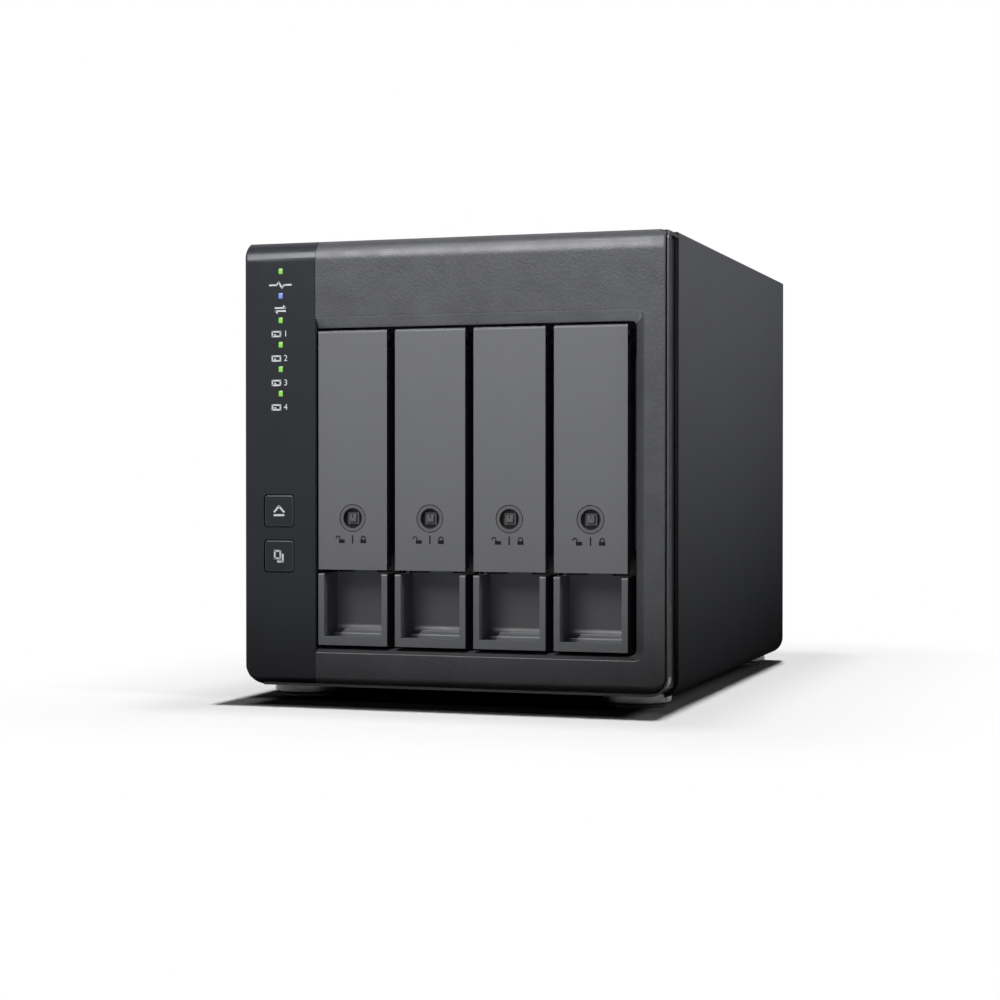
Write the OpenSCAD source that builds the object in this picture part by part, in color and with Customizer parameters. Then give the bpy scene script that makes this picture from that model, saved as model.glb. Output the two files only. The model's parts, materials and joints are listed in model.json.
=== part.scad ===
// Four-bay desktop disk enclosure.
// Millimetres, +Z up, floor at Z 0, front face towards -Y, box centred on X and Y.

/* [Case] */
// Width across the cover
case_w = 160; // [158:0.5:164]
// Height with the feet
case_h = 168; // [167:0.5:172]
// Depth from the bezel face to the rear edge
case_d = 219; // [218:0.5:224]
// Height of the feet
foot_h = 5.3; // [5:0.1:6.5]
// Radius of the two rolled lower edges
low_r = 7; // [5:0.5:9]
// Radius of the two upper corners of the frame
top_r = 1.5; // [1:0.1:2.5]
// Radius of the two upper long edges of the cover
fold_r = 0.8; // [0.6:0.1:1.2]
// Thickness of the cover sheet
sheet = 1.2; // [1:0.1:1.3]

/* [Front] */
// Depth of the bezel
bezel_t = 7.5; // [7.2:0.1:8]
// Depth at which the cover starts
neck_end = 15.5; // [15:0.1:16]
// Depth of the shoulder of the frame round the bezel
shoulder_d = 5; // [4:0.1:6]
// Right edge of the indicator strip
strip_x = -52; // [-52.2:0.05:-51.8]
// Rounding of the left front edge
round_left = 0.8; // [0.5:0.1:2]
// Rounding of the right front edge
round_right = 0.3; // [0.2:0.1:1]
// Height of the rounded upper front edge
nose_h = 7.4; // [6:0.1:8]
// Depth of the rounded upper front edge
nose_d = 6; // [5.2:0.1:7]
// Rounding of the lower front edge
round_low = 3; // [2:0.1:4]
// Size of a front button
button_w = 11.7; // [10:0.1:12]
// Spacing of the lights
light_pitch = 8.96; // [8:0.05:9]

/* [Bays] */
// Spacing of the bays
bay_pitch = 29.9; // [29.8:0.05:30]
// Middle of the first bay
bay_x0 = -37.8; // [-37.9:0.05:-37.7]
// Width of a lever
lever_w = 26.7; // [26:0.1:26.8]
// Lower edge of a tray
tray_z0 = 20.4; // [20.3:0.1:20.6]
// Lower edge of a lever
lever_low = 48; // [47.5:0.1:49]
// Upper edge of a lever
lever_top = 135; // [134.8:0.1:135.2]
// Height of the lock
lock_z = 66.8; // [64:0.1:72]
// Setback of the lever face
lever_set = 1.3; // [1:0.1:1.6]

/* [Drives] */
// Length of a drive
drive_l = 147; // [146:0.1:147]
// Thickness of a drive
drive_t = 26.1; // [19:0.1:26.1]
// Width of a drive
drive_w = 101.6; // [101.2:0.1:101.6]
// Depth at which a drive starts
drive_y = 16.5; // [16:0.1:17]

/* [Cooling] */
// Size of the fan frame
fan_size = 120; // [112:1:120]
// Depth of the fan frame
fan_t = 25; // [23:0.5:25]
// Middle of the fan
fan_x = 11; // [8:0.5:14]
// Number of fan blades
blades = 7; // [5:1:9]

/* [Hidden] */
$fn = 64;
eps = 0.01;
bays = 4;
face_y = -case_d / 2;
half_w = case_w / 2;
base_z = foot_h;
lever_z = [lever_low, lever_top];
// Rim of the frame beside and under the bezel
rim_d = 0.9;
rim_t = 0.6;
lip_t = 0.9;
lip_x = low_r - half_w;
// Bezel and strip lie inside the case outline: left, right, top, bottom
trim_in = [0.05, 1.2, 0.1, lip_t + 0.1];
trim_gap = 0.1;
trim_r = low_r - 0.9;
// Depth and height of the rounding of those edges, and the depths of the slices through it
edge_d = [round_left, round_right, nose_d, round_low];
edge_h = [round_left, round_right, nose_h, round_low];
slice_end = shoulder_d - 0.1;
slice_d = [for (t = [0:10:70]) nose_d * (1 - cos(t)), slice_end];
// Rebate behind the right edge of the bezel, where the frame reaches in
rebate_x = half_w - 3.4;
rebate_d = 3.2;
// Frame top under the cover top, and the groove in its sides
frame_low = 0.4;
neck_in = 1.5;
neck_top = case_h - 2.4;
tongue_d = 9;
// Lower edges of the cover hang under the base plate
cover_drop = 2;
in_w = half_w - sheet;
in_top = case_h - sheet;
fan_z = (base_z + case_h) / 2;
rear_d = [case_d - 4, case_d - 2.8];
grille_t = 0.8;
fan_d = [rear_d[0] - grille_t - fan_t, rear_d[0] - grille_t];
fan_hole = fan_size * 105 / 240;
// Recess of the bezel at the face and at its inner step: right, bottom, top, corner
recess_out = [71.3, 17.9, 139.8, 3.5];
recess_in = [68, 19.4, 136.1, 2];
recess_d = 3.2;
// Snap hooks behind the bezel
hooks = [for (x = [-20, 40], z = [13, 152]) [x, z]];
// Indicator strip
light_x = -65.7;
light_z0 = case_h - 10.9;
light_size = [1.7, 2];
light_count = 6;
blue_light = 1;
button_x = -66.35;
button_z = [69.3, 52.7];
board_d = [10, 11.6];
// Tray
tray_half = 13.2;
drive_z0 = 25.9;
drive_end = drive_y + drive_l;
drive_x = -12;
wall_d = [10, 12.5];
ledge_z = 54;
scoop_half = 13.45;
scoop_in = 11.25;
scoop_lip = 23.6;
scoop_top = 46.6;
scoop_d = 14;
tray_end = 168;
tray_z1 = 133.4;
pin_r = 0.9;
pin_d = lever_set + 2.5;
pin_z = lever_z[1] - 2.6;
ear_in = 10.4;
lock_r = 4.82;
lock_gap = 0.25;
socket_r = 3.65;
boss = [1.35, 2.15];
cam_d = [wall_d[1] + 0.3, wall_d[1] + 1.7];
drive_holes = [drive_end - 41.28, drive_end - 85.73];
// Cage and boards
cage_x = [-53.6, 69.6];
cage_z = [15.6, 140.4];
cage_end = 173.2;
plane_d = [cage_end, cage_end + 1.6];
board_x = [-72, -70.4];
board_end = case_d - 6;
stand_d = [34, 150];
stand_z = [26, 150];
riser_x = [-40, 56];
lug_z = [28, 128];
foot_x = 63.5;
foot_r = 12.6;
foot_d = [21, 196];
// Rear sockets, all in the column beside the fan
power_z = 145;
mode_z = 126;
data_z = 102;
slot_z = 70;
inlet_z = 36;
inlet_x = -64.9;
data_x = -68.4;
power_x = -66;
mode_x = -66.9;
tab_z = [20, 160];

function bay_x(k) = bay_x0 + (k - 1) * bay_pitch;
function light_z(i) = light_z0 - i * light_pitch;

// Box between two limits on each axis, depth measured back from the bezel face
module block(x, d, z) {
  translate([x[0], face_y + d[0], z[0]]) cube([x[1] - x[0], d[1] - d[0], z[1] - z[0]]);
}

// The same box on both sides of a middle
module pair(x, half, d, z) {
  block([x - half[1], x - half[0]], d, z);
  block([x + half[0], x + half[1]], d, z);
}

// Round bar along the depth
module rod_y(x, z, r, d) {
  translate([x, face_y + d[0], z]) rotate([-90, 0, 0]) cylinder(r = r, h = d[1] - d[0]);
}

// Round bar along the width
module rod_x(d, z, r, x) {
  translate([x[0], face_y + d, z]) rotate([0, 90, 0]) cylinder(r = r, h = x[1] - x[0]);
}

// Round bar along the height
module rod_z(x, d, r, z) {
  translate([x, face_y + d, z[0]]) cylinder(r = r, h = z[1] - z[0]);
}

// Outline in width and height, carried back through a depth
module through(d) {
  translate([0, face_y + d[1], 0]) rotate([90, 0, 0]) linear_extrude(d[1] - d[0]) children();
}

// Profile in depth and height, carried across a width
module across(x) {
  translate([x[0], face_y, 0]) rotate([90, 0, 90]) linear_extrude(x[1] - x[0]) children();
}

// Rounded rectangle between limits
module soft_rect(x, z, r) {
  translate([x[0] + r, z[0]]) square([x[1] - x[0] - 2 * r, z[1] - z[0]]);
  translate([x[0], z[0] + r]) square([x[1] - x[0], z[1] - z[0] - 2 * r]);
  for (px = [x[0] + r, x[1] - r], pz = [z[0] + r, z[1] - r]) translate([px, pz]) circle(r);
}

// Section with rolled lower corners and tight upper corners
module plate_section(x, z, rl, rt) {
  translate([x[0], z[0] + rl]) square([x[1] - x[0], z[1] - rt - z[0] - rl]);
  translate([x[0] + rl, z[0]]) square([x[1] - x[0] - 2 * rl, rl + 1]);
  translate([x[0] + rt, z[1] - rt - 1]) square([x[1] - x[0] - 2 * rt, rt + 1]);
  for (px = [x[0] + rl, x[1] - rl]) translate([px, z[0] + rl]) circle(rl);
  for (px = [x[0] + rt, x[1] - rt]) translate([px, z[1] - rt]) circle(rt);
}

// Section of the cover, or of its inside
module cover_section(inset) {
  w = half_w - inset;
  z = [base_z - cover_drop + inset, case_h - inset];
  plate_section([-w, w], z, low_r - inset, max(fold_r - inset, 0.3));
}

// Section of the front frame
module frame_section() {
  plate_section([-half_w, half_w], [base_z, case_h - frame_low], low_r, top_r);
}

// Seat of the front body in the frame, open to the left
module seat_section() {
  x = [-half_w - 0.05, half_w - rim_t];
  plate_section(x, [base_z + lip_t, case_h - trim_in[2] + trim_gap], trim_r, top_r);
}

// Pan head screw along the depth, head towards the rear
module screw_y(x, z, d, head_r, head_h, r, len) {
  rod_y(x, z, head_r, [d, d + head_h]);
  rod_y(x, z, r, [d - len, d + eps]);
}

// Outer cover
module outer_cover() {
  color("#4b4d51") difference() {
    union() {
      difference() {
        through([neck_end + 0.5, case_d]) cover_section(0);
        through([neck_end, case_d + 1]) cover_section(sheet);
        block([low_r - half_w, half_w - low_r], [0, case_d + 1], [0, base_z + sheet + 1]);
        for (x = [-foot_x, foot_x], d = foot_d) rod_z(x, d, foot_r + 0.3, [0, base_z + 0.1]);
      }
      for (z = tab_z) pair(0, [half_w - 10, in_w + 0.2], [rear_d[1], rear_d[1] + 1], [z - 4, z + 4]);
    }
    for (z = tab_z, s = [-1, 1]) rod_y(s * (half_w - 6), z, 1.8, [rear_d[0], case_d]);
  }
}

// Base plate with a tongue under the frame, two risers for the cage and a rear flange
module base_plate() {
  w = half_w - low_r;
  edge = w + 2.9;
  top = cage_z[0];
  color("#3c3e41") difference() {
    union() {
      block([-edge, edge], [neck_end + 0.6, case_d], [base_z, base_z + sheet]);
      block([1.2 - w, w - 1.2], [tongue_d + 0.1, neck_end + 1], [base_z, base_z + sheet]);
      for (x = riser_x) {
        block([x - 7, x + 7], [22, 168], [top - sheet, top]);
        pair(x, [5.8, 7], [22, 168], [base_z + sheet, top]);
      }
      block([3 - w, w - 3], [rear_d[0] - sheet, rear_d[0]], [base_z + sheet - eps, 22]);
    }
    for (x = riser_x, d = [40, 150]) {
      rod_z(x, d, 4, [0, base_z + 2]);
      rod_z(x, d, 1.7, [top - 3, top + 1]);
    }
    for (x = [-18:12:34], d = [60, 112]) block([x - 1.5, x + 1.5], [d - 16, d + 16], [0, base_z + 2]);
  }
}

// Round feet: disc with a rounded rim, pad under it with a dished underside
module rubber_feet() {
  color("#1c1c1e") for (x = [-foot_x, foot_x], d = foot_d) translate([x, face_y + d, 0])
    rotate_extrude($fn = 64) difference() {
      union() {
        square([foot_r - 2, foot_h]);
        translate([0, 1.2]) square([foot_r - 1, foot_h - 1.2]);
        translate([0, 2.2]) square([foot_r, foot_h - 2.2]);
        translate([foot_r - 1, 2.2]) circle(1);
      }
      translate([0, -eps]) square([5, 1.2]);
    }
}

// Inset of a rounded front edge at a depth: left, right, top, bottom
function inset(i, d) =
  d >= edge_d[i] ? 0 : edge_h[i] * (1 - sqrt(1 - pow((edge_d[i] - d) / edge_d[i], 2)));

// Slice of the front body at a depth; its lower left corner follows the case outline
module shell_slice(d) {
  top = case_h - trim_in[2] - inset(2, d);
  low = base_z + inset(3, d);
  for (s = [0, 1]) {
    dir = 1 - 2 * s;
    sx = -dir * (half_w - trim_in[s] - inset(s, d));
    rl = (s == 0 ? low_r : trim_r) - 0.95 * inset(3, d);
    rod_y(sx + dir * rl, low + rl + s * trim_in[3], rl, [d, d + 0.01], $fn = 32);
    rod_y(sx + dir * 0.8, top - 0.8, 0.8, [d, d + 0.01], $fn = 32);
  }
}

// Front body of bezel and strip: one hull of slices, a plain plate behind it, room for the lip
module front_shell() {
  x = [trim_in[0] - half_w, half_w - trim_in[1]];
  top = case_h - trim_in[2] - inset(2, slice_end);
  difference() {
    union() {
      hull() for (d = slice_d) shell_slice(d);
      through([slice_end - 0.5, bezel_t]) plate_section(x, [base_z + trim_in[3], top], trim_r, 0.8);
    }
    block([lip_x - 0.1, half_w], [rim_d - 0.1, bezel_t + 1], [0, base_z + trim_in[3]]);
  }
}

// Space in front of and above the rounded upper edge, in depth and height
module nose_cut() {
  polygon(concat([for (d = slice_d) [d, case_h - trim_in[2] - inset(2, d)]],
    [[nose_d, case_h - trim_in[2]], [nose_d, case_h + 1], [-1, case_h + 1], [-1, case_h - 9]]));
}

// Cutter of the tray recess, open to the left
module recess_plate(r, d) {
  x0 = strip_x - 12;
  for (z = [r[1] + r[3], r[2] - r[3]]) {
    rod_y(r[0] - r[3], z, r[3], d, $fn = 32);
    rod_y(x0, z, r[3], d, $fn = 32);
  }
}

// Grained bezel: upper bar, right bar and lower bar round the tray recess
module front_bezel() {
  color("#6b6d71") difference() {
    front_shell();
    block([-half_w - 1, strip_x + 0.15], [-1, bezel_t + 1], [0, case_h + 1]);
    block([rebate_x, half_w], [rebate_d, bezel_t + 1], [0, case_h + 1]);
    hull() {
      recess_plate(recess_out, [-0.02, 0]);
      recess_plate(recess_in, [recess_d, recess_d + 0.02]);
    }
    hull() recess_plate(recess_in, [recess_d - 0.01, bezel_t + 1]);
  }
  color("#6b6d71") for (p = hooks)
    block([p[0] - 3, p[0] + 3], [bezel_t - 1, bezel_t + 4], [p[1] - 0.8, p[1] + 0.8]);
}

// Indicator strip, hollow from behind
module indicator_panel() {
  color("#2b2c31") difference() {
    front_shell();
    block([strip_x, half_w + 1], [-1, bezel_t + 1], [0, case_h + 1]);
    block([2.2 - half_w, strip_x - 1.4], [2.2, bezel_t + 1], [base_z + 6, case_h - 9]);
    for (i = [0:light_count - 1]) translate([light_x, 0, light_z(i)])
      block([-1, 1] * (light_size[0] / 2 + 0.05), [-1, 3], [-1, 1] * (light_size[1] / 2 + 0.05));
    for (z = button_z) through([-1, 3]) soft_button(z, 0.25);
  }
}

// Outline of a front button, grown by a gap
module soft_button(z, gap) {
  h = button_w / 2 + gap;
  soft_rect([button_x - h, button_x + h], [z - h, z + h], 1.3 + gap);
}

// Light pipe: window, collar behind the strip and stem to its lamp
module light_pipe(i) {
  translate([light_x, 0, light_z(i)]) {
    block([-1, 1] * light_size[0] / 2, [0.1, 2.21], [-1, 1] * light_size[1] / 2);
    block([-1.6, 1.6], [2.2, 3.2], [-1.8, 1.8]);
    block([-0.8, 0.8], [3.19, 9], [-0.9, 0.9]);
  }
}

// Lights of status and disks
module green_light_pipes() {
  color("#53d86a") for (i = [0:light_count - 1]) if (i != blue_light) light_pipe(i);
}

// Light of the cable link
module blue_light_pipe() {
  color("#3f7dff") light_pipe(blue_light);
}

// Front board with lamps and button switches
module front_board() {
  color("#1f5a36") {
    block([-76.5, -54.5], board_d, [36.5, 162.5]);
    for (i = [0:light_count - 1]) translate([light_x, 0, light_z(i)])
      block([-1.6, 1.6], [9.1, board_d[0] + eps], [-0.8, 0.8]);
    for (z = button_z) {
      block([button_x - 3, button_x + 3], [7.6, board_d[0] + eps], [z - 3, z + 3]);
      rod_y(button_x, z, 1.7, [7, 7.61]);
    }
    block([-74, -57], [board_d[1] - eps, 16.4], [84, 104]);
  }
}

// Front button: cap, flange behind the strip and stem to its switch
module front_button(z) {
  color("#303136") {
    through([0.05, 2.6]) soft_button(z, 0);
    block([button_x - 6.8, button_x + 6.8], [2.5, 3.4], [z - 6.8, z + 6.8]);
    rod_y(button_x, z, 2, [3.39, 6.1]);
  }
}
module eject_button() { front_button(button_z[0]); }
module copy_button() { front_button(button_z[1]); }

// Front frame: rim beside and under the bezel, shoulder over it, grooved neck, board seat
module front_frame() {
  color("#202125") difference() {
    union() {
      through([shoulder_d, neck_end]) frame_section();
      intersection() {
        through([rim_d, shoulder_d + 1]) frame_section();
        union() {
          block([half_w - 1.2, half_w], [0, neck_end], [0, case_h]);
          block([lip_x, half_w], [0, neck_end], [0, base_z + 4]);
        }
      }
    }
    through([0, rebate_d + 0.2]) seat_section();
    intersection() {
      through([0, bezel_t]) seat_section();
      block([-half_w - 1, rebate_x + 0.2], [-1, bezel_t + 1], [0, case_h + 1]);
    }
    block([low_r - half_w + 1, half_w - low_r - 1], [tongue_d, 30], [0, base_z + sheet + 0.1]);
    block([half_w - neck_in, half_w + 1], [shoulder_d, 30], [0, neck_top]);
    block([-half_w - 1, neck_in - half_w], [bezel_t - 1, 30], [0, neck_top]);
    block([strip_x, recess_in[0] + 0.4], [0, 30], [recess_in[1] - 0.2, recess_in[2] + 0.5]);
    block([-77, strip_x - 2.3], [0, board_d[1]], [36, 163]);
    block([-74.5, -57], [0, 30], [40, 158]);
    for (p = hooks) block([p[0] - 3.2, p[0] + 3.2], [0, 30], [p[1] - 1, p[1] + 1]);
    across([half_w - 6, half_w + 1]) nose_cut();
  }
}

// Drive cage: sheet tube with vents, board stand-offs and rear lugs
module drive_cage() {
  d = [neck_end, cage_end];
  color("#9a9ca0") difference() {
    union() {
      difference() {
        block(cage_x, d, cage_z);
        block([cage_x[0] + sheet, cage_x[1] - sheet], [0, 200], [cage_z[0] + sheet, cage_z[1] - sheet]);
      }
      for (sd = stand_d, z = stand_z) if (z < cage_z[1]) rod_x(sd, z, 2.6, [board_x[1], cage_x[0] + eps]);
      for (sd = stand_d) {
        rod_x(sd, stand_z[1], 2.6, [board_x[1], cage_x[0] + 4]);
        block([cage_x[0], cage_x[0] + sheet], [sd - 6, sd + 6], [cage_z[1] - 1, stand_z[1] + 5]);
      }
      for (z = lug_z) {
        block([cage_x[0] - 8, cage_x[0] + eps], [cage_end - 6, cage_end], [z - 4, z + 4]);
        block([cage_x[1] - eps, cage_x[1] + 7], [cage_end - 6, cage_end], [z - 4, z + 4]);
      }
    }
    for (sd = [50, 84, 118], z = [50, 82, 114]) block([-60, 80], [sd - 10, sd + 10], [z - 10, z + 10]);
    for (sd = stand_d, z = stand_z) rod_x(sd, z, 1.4, [board_x[1] - 1, board_x[1] + 9]);
    for (z = lug_z, x = [cage_x[0] - 4, cage_x[1] + 3.5]) rod_y(x, z, 1.4, [cage_end - 5, cage_end + 1]);
    for (x = riser_x, sd = [40, 150]) rod_z(x, sd, 1.7, [cage_z[0] - 1, cage_z[0] + 3]);
  }
}

// Middles of the ribs between the trays, one at each end
function rib_x(k) = bay_x0 + (k - 0.5) * bay_pitch;

// Plastic guide with ribs, floor first
module guide(floor_z, rib_z) {
  color("#2a2b2d") {
    block([cage_x[0] + sheet, cage_x[1] - sheet], [neck_end + 0.5, 165], floor_z);
    for (k = [1:bays - 1]) block([rib_x(k) - 0.9, rib_x(k) + 0.9], [18, 160], rib_z);
    block([cage_x[0] + sheet, rib_x(0) + 1.2], [18, 160], rib_z);
    block([rib_x(bays) - 0.9, cage_x[1] - sheet], [18, 160], rib_z);
  }
}
module lower_guide() { guide([cage_z[0] + sheet, tray_z0 - 0.2], [tray_z0 - 0.21, 25]); }
module upper_guide() { guide([tray_z1 + 0.4, cage_z[1] - sheet], [128.6, tray_z1 + 0.41]); }

// Backplane with air slots between the drive connectors
module backplane_board() {
  color("#1f5a36") difference() {
    block([-69.8, cage_x[1] + 7], plane_d, [18, 138]);
    for (k = [1:bays]) block([bay_x(k) - 2, bay_x(k) + 13], [150, 200], [78, 132]);
    for (z = lug_z, x = [cage_x[0] - 4, cage_x[1] + 3.5]) rod_y(x, z, 1.7, [150, 200]);
  }
}

// Drive connectors, each entering the notch of its drive
module drive_connectors() {
  color("#141416") for (k = [1:bays]) {
    x = bay_x(k) + drive_x + 5.5;
    difference() {
      block([x - 2.6, x + 2.6], [drive_end - 3.4, plane_d[0]], [33, 70]);
      block([x - 0.8, x + 0.8], [drive_end - 4, drive_end + 3], [35, 68]);
    }
  }
}

// Main board on its stand-offs, with its chips, coils, capacitors and headers
module main_board() {
  x = board_x[1];
  color("#1f5a36") difference() {
    union() {
      block(board_x, [19, board_end], [14, 160]);
      block([x - eps, x + 2], [92, 112], [70, 90]);
      block([x - eps, x + 1.2], [124, 136], [104, 120]);
      for (d = [60, 72, 84]) block([x - eps, x + 4], [d - 4, d + 4], [32, 40]);
      for (d = [120, 132, 144, 156]) rod_x(d, 44, 3.2, [x - eps, x + 9]);
      block([x - eps, x + 10], [plane_d[1], plane_d[1] + 6], [60, 112]);
      block([x - eps, x + 5], [192, 197], [56, 66]);
      block([x - eps, x + 6], [204, 210.6], [power_z - 3.5, power_z + 3.5]);
      block([x - eps, x + 7], [16.5, 23], [84, 104]);
    }
    for (d = stand_d, z = stand_z) rod_x(d, z, 1.7, [board_x[0] - 1, x + 1]);
    block([board_x[0] - 1, x + 1], [board_end - 1.2, board_end + 1], [power_z - 7, power_z + 7]);
  }
}

// Heat sink on the bridge chip
module heat_sink() {
  x = board_x[1] + 2;
  color("#8f9296") {
    block([x, x + 2], [88, 116], [66, 94]);
    for (i = [0:7]) block([x + 1.9, x + 10], [88 + i * 3.8, 89.4 + i * 3.8], [66, 94]);
  }
}

// Rear panel with fan opening, socket cut-outs and lock slot
module rear_panel() {
  color("#3c3e41") difference() {
    through(rear_d) cover_section(sheet);
    block([-half_w, half_w], [0, 300], [0, base_z + sheet]);
    rod_y(fan_x, fan_z, fan_size / 2 - 4, [150, 300]);
    for (sx = [-1, 1], sz = [-1, 1]) {
      rod_y(fan_x + sx * fan_hole, fan_z + sz * fan_hole, 2.4, [150, 300]);
      rod_y(sx * (half_w - 6), sz < 0 ? tab_z[0] : tab_z[1], 1.8, [150, 300]);
    }
    rod_y(power_x, power_z, 4.6, [150, 300]);
    block([mode_x - 3.7, mode_x + 3.7], [150, 300], [mode_z - 5.2, mode_z + 5.2]);
    through([150, 300]) soft_rect([data_x - 1.75, data_x + 1.75], [data_z - 4.7, data_z + 4.7], 1.7);
    through([150, 300]) soft_rect([power_x - 1.6, power_x + 1.6], [slot_z - 3.6, slot_z + 3.6], 0.6);
    rod_y(inlet_x, inlet_z, 5.4, [150, 300]);
  }
}

// Punched grille clamped between the fan and the rear panel
module fan_grille() {
  d = [rear_d[0] - grille_t, rear_d[0]];
  h = fan_size / 2;
  color("#2b2c2f") difference() {
    through(d) soft_rect([fan_x - h, fan_x + h], [fan_z - h, fan_z + h], 4);
    for (ring = [1:8]) for (i = [0:ring * 6 - 1]) {
      a = 360 * (i + (ring % 2) / 2) / (ring * 6);
      rod_y(fan_x + 6.5 * ring * cos(a), fan_z + 6.5 * ring * sin(a), 2.4, [150, 300], $fn = 16);
    }
    rod_y(fan_x, fan_z, 2.4, [150, 300], $fn = 16);
    for (sx = [-1, 1], sz = [-1, 1]) rod_y(fan_x + sx * fan_hole, fan_z + sz * fan_hole, 2.4, [150, 300]);
  }
}

// Fan frame: two flanges and the duct between them
module fan_frame() {
  h = fan_size / 2;
  color("#1d1d1f") difference() {
    union() {
      for (d = [[fan_d[0], fan_d[0] + 4], [fan_d[1] - 4, fan_d[1]]])
        through(d) soft_rect([fan_x - h, fan_x + h], [fan_z - h, fan_z + h], 4);
      rod_y(fan_x, fan_z, h - 0.4, fan_d);
    }
    rod_y(fan_x, fan_z, h - 2, [150, 300]);
    for (sx = [-1, 1], sz = [-1, 1]) rod_y(fan_x + sx * fan_hole, fan_z + sz * fan_hole, 2.3, [150, 300]);
  }
}

// Motor bracket of the fan: plate, four struts to the duct and bearing tube
module fan_bracket() {
  h = fan_size / 2;
  end = [fan_d[1] - 4, fan_d[1]];
  color("#1d1d1f") difference() {
    union() {
      rod_y(fan_x, fan_z, 19.5, end);
      rod_y(fan_x, fan_z, 4.2, [fan_d[0] + 6, fan_d[1] - 1]);
      intersection() {
        rod_y(fan_x, fan_z, h - 2.05, end);
        for (a = [45:90:315]) translate([fan_x, 0, fan_z]) rotate([0, a, 0]) block([18, h], end, [-2, 2]);
      }
    }
    rod_y(fan_x, fan_z, 1.55, [fan_d[0], fan_d[1] - 2]);
  }
}

// Stator of the fan: four poles round the bearing tube
module fan_stator() {
  d = [fan_d[0] + 8, fan_d[1] - 6.5];
  color("#b0722f") difference() {
    rod_y(fan_x, fan_z, 14, d);
    rod_y(fan_x, fan_z, 4.25, [150, 300]);
    for (a = [45:90:315]) translate([fan_x, 0, fan_z]) rotate([0, a, 0])
      block([8, 20], [150, 300], [-1.5, 1.5]);
  }
}

// Fan rotor: cup, shaft and pitched blades
module fan_rotor() {
  h = fan_size / 2;
  color("#26272a") {
    difference() {
      rod_y(fan_x, fan_z, 19, [fan_d[0] + 1.5, fan_d[1] - 5]);
      rod_y(fan_x, fan_z, 17.4, [fan_d[0] + 3, fan_d[1]]);
    }
    rod_y(fan_x, fan_z, 1.5, [fan_d[0] + 2.9, fan_d[1] - 3]);
    for (i = [0:blades - 1]) translate([fan_x, face_y + fan_d[0] + 3, fan_z])
      rotate([-90, 0, 0]) linear_extrude(14, twist = 38, slices = 4)
        rotate(360 * i / blades) blade_section(h, $fn = 40);
  }
}

// Section of a blade across the fan axis, swept forward
module blade_section(h) {
  intersection() {
    difference() {
      translate([20, -12]) circle(h - 22);
      translate([18.6, -14.4]) circle(h - 21.4);
      circle(18.2);
    }
    circle(h - 4);
  }
}

// Four screws of the fan
module fan_screws() {
  color("#77797d") for (sx = [-1, 1], sz = [-1, 1])
    screw_y(fan_x + sx * fan_hole, fan_z + sz * fan_hole, rear_d[1], 4, 1.8, 2.1, 12);
}

// Power inlet: box, sleeve, bore and centre pin
module power_inlet() {
  color("#151517") {
    difference() {
      union() {
        block([board_x[1], inlet_x + 5.5], [200, 213.5], [inlet_z - 5.5, inlet_z + 5.5]);
        rod_y(inlet_x, inlet_z, 5.2, [213.4, rear_d[1] + 0.6]);
      }
      rod_y(inlet_x, inlet_z, 3.2, [205, case_d]);
    }
    rod_y(inlet_x, inlet_z, 1.2, [204.9, rear_d[1] - 0.4]);
  }
}

// Data socket: stadium shell with a tongue
module data_socket() {
  d = [205, rear_d[1] + 0.3];
  color("#b9bbbe") {
    difference() {
      through(d) soft_rect([data_x - 1.6, data_x + 1.6], [data_z - 4.5, data_z + 4.5], 1.55);
      through([d[0] + 1.5, case_d])
        soft_rect([data_x - 1.28, data_x + 1.28], [data_z - 4.17, data_z + 4.17], 1.26);
    }
    block([data_x - 0.35, data_x + 0.35], [d[0] + 1.4, d[1] - 1.2], [data_z - 3.3, data_z + 3.3]);
    block([board_x[1], data_x - 1.5], [206, 212], [data_z - 2.6, data_z + 2.6]);
  }
}

// Housing of the three mode sliders
module mode_switch() {
  color("#8e2226") difference() {
    block([board_x[1], mode_x + 3.5], [205, rear_d[0] - 0.4], [mode_z - 5, mode_z + 5]);
    for (i = [-1, 0, 1]) translate([mode_x, 0, mode_z + i * 2.9]) block([-2.3, 2.3], [211, 220], [-0.9, 0.9]);
  }
}

// Slider of the mode switch
module mode_slider(i) {
  z = mode_z + (2 - i) * 2.9;
  color("#e6e4dc") {
    block([mode_x - 2.2, mode_x - 0.2], [211.3, rear_d[0] - 0.2], [z - 0.75, z + 0.75]);
    block([mode_x - 1.7, mode_x - 0.7], [rear_d[0] - 0.3, rear_d[1] - 0.2], [z - 0.6, z + 0.6]);
  }
}
module mode_slider_1() { mode_slider(1); }
module mode_slider_2() { mode_slider(2); }
module mode_slider_3() { mode_slider(3); }

// Power button on the rear
module power_button() {
  color("#2b2c2f") {
    rod_y(power_x, power_z, 4.3, [rear_d[0] - 1, rear_d[1] + 1]);
    rod_y(power_x, power_z, 5.6, [rear_d[0] - 1.9, rear_d[0] - 0.2]);
    rod_y(power_x, power_z, 1.8, [211.6, rear_d[0] - 1.8]);
  }
}

// Screws of the main board, backplane and cage, one size
module chassis_screws() {
  color("#a4a6a9") {
    for (d = stand_d, z = stand_z) {
      rod_x(d, z, 2.8, [board_x[0] - 1.8, board_x[0]]);
      rod_x(d, z, 1.35, [board_x[0] - eps, board_x[1] + 6]);
    }
    for (z = lug_z, x = [cage_x[0] - 4, cage_x[1] + 3.5]) screw_y(x, z, plane_d[1], 2.8, 1.8, 1.35, 5.5);
    for (x = riser_x, d = [40, 150]) {
      rod_z(x, d, 2.8, [cage_z[0] - sheet - 1.8, cage_z[0] - sheet]);
      rod_z(x, d, 1.35, [cage_z[0] - sheet - eps, cage_z[0] + sheet]);
    }
  }
}

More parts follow.
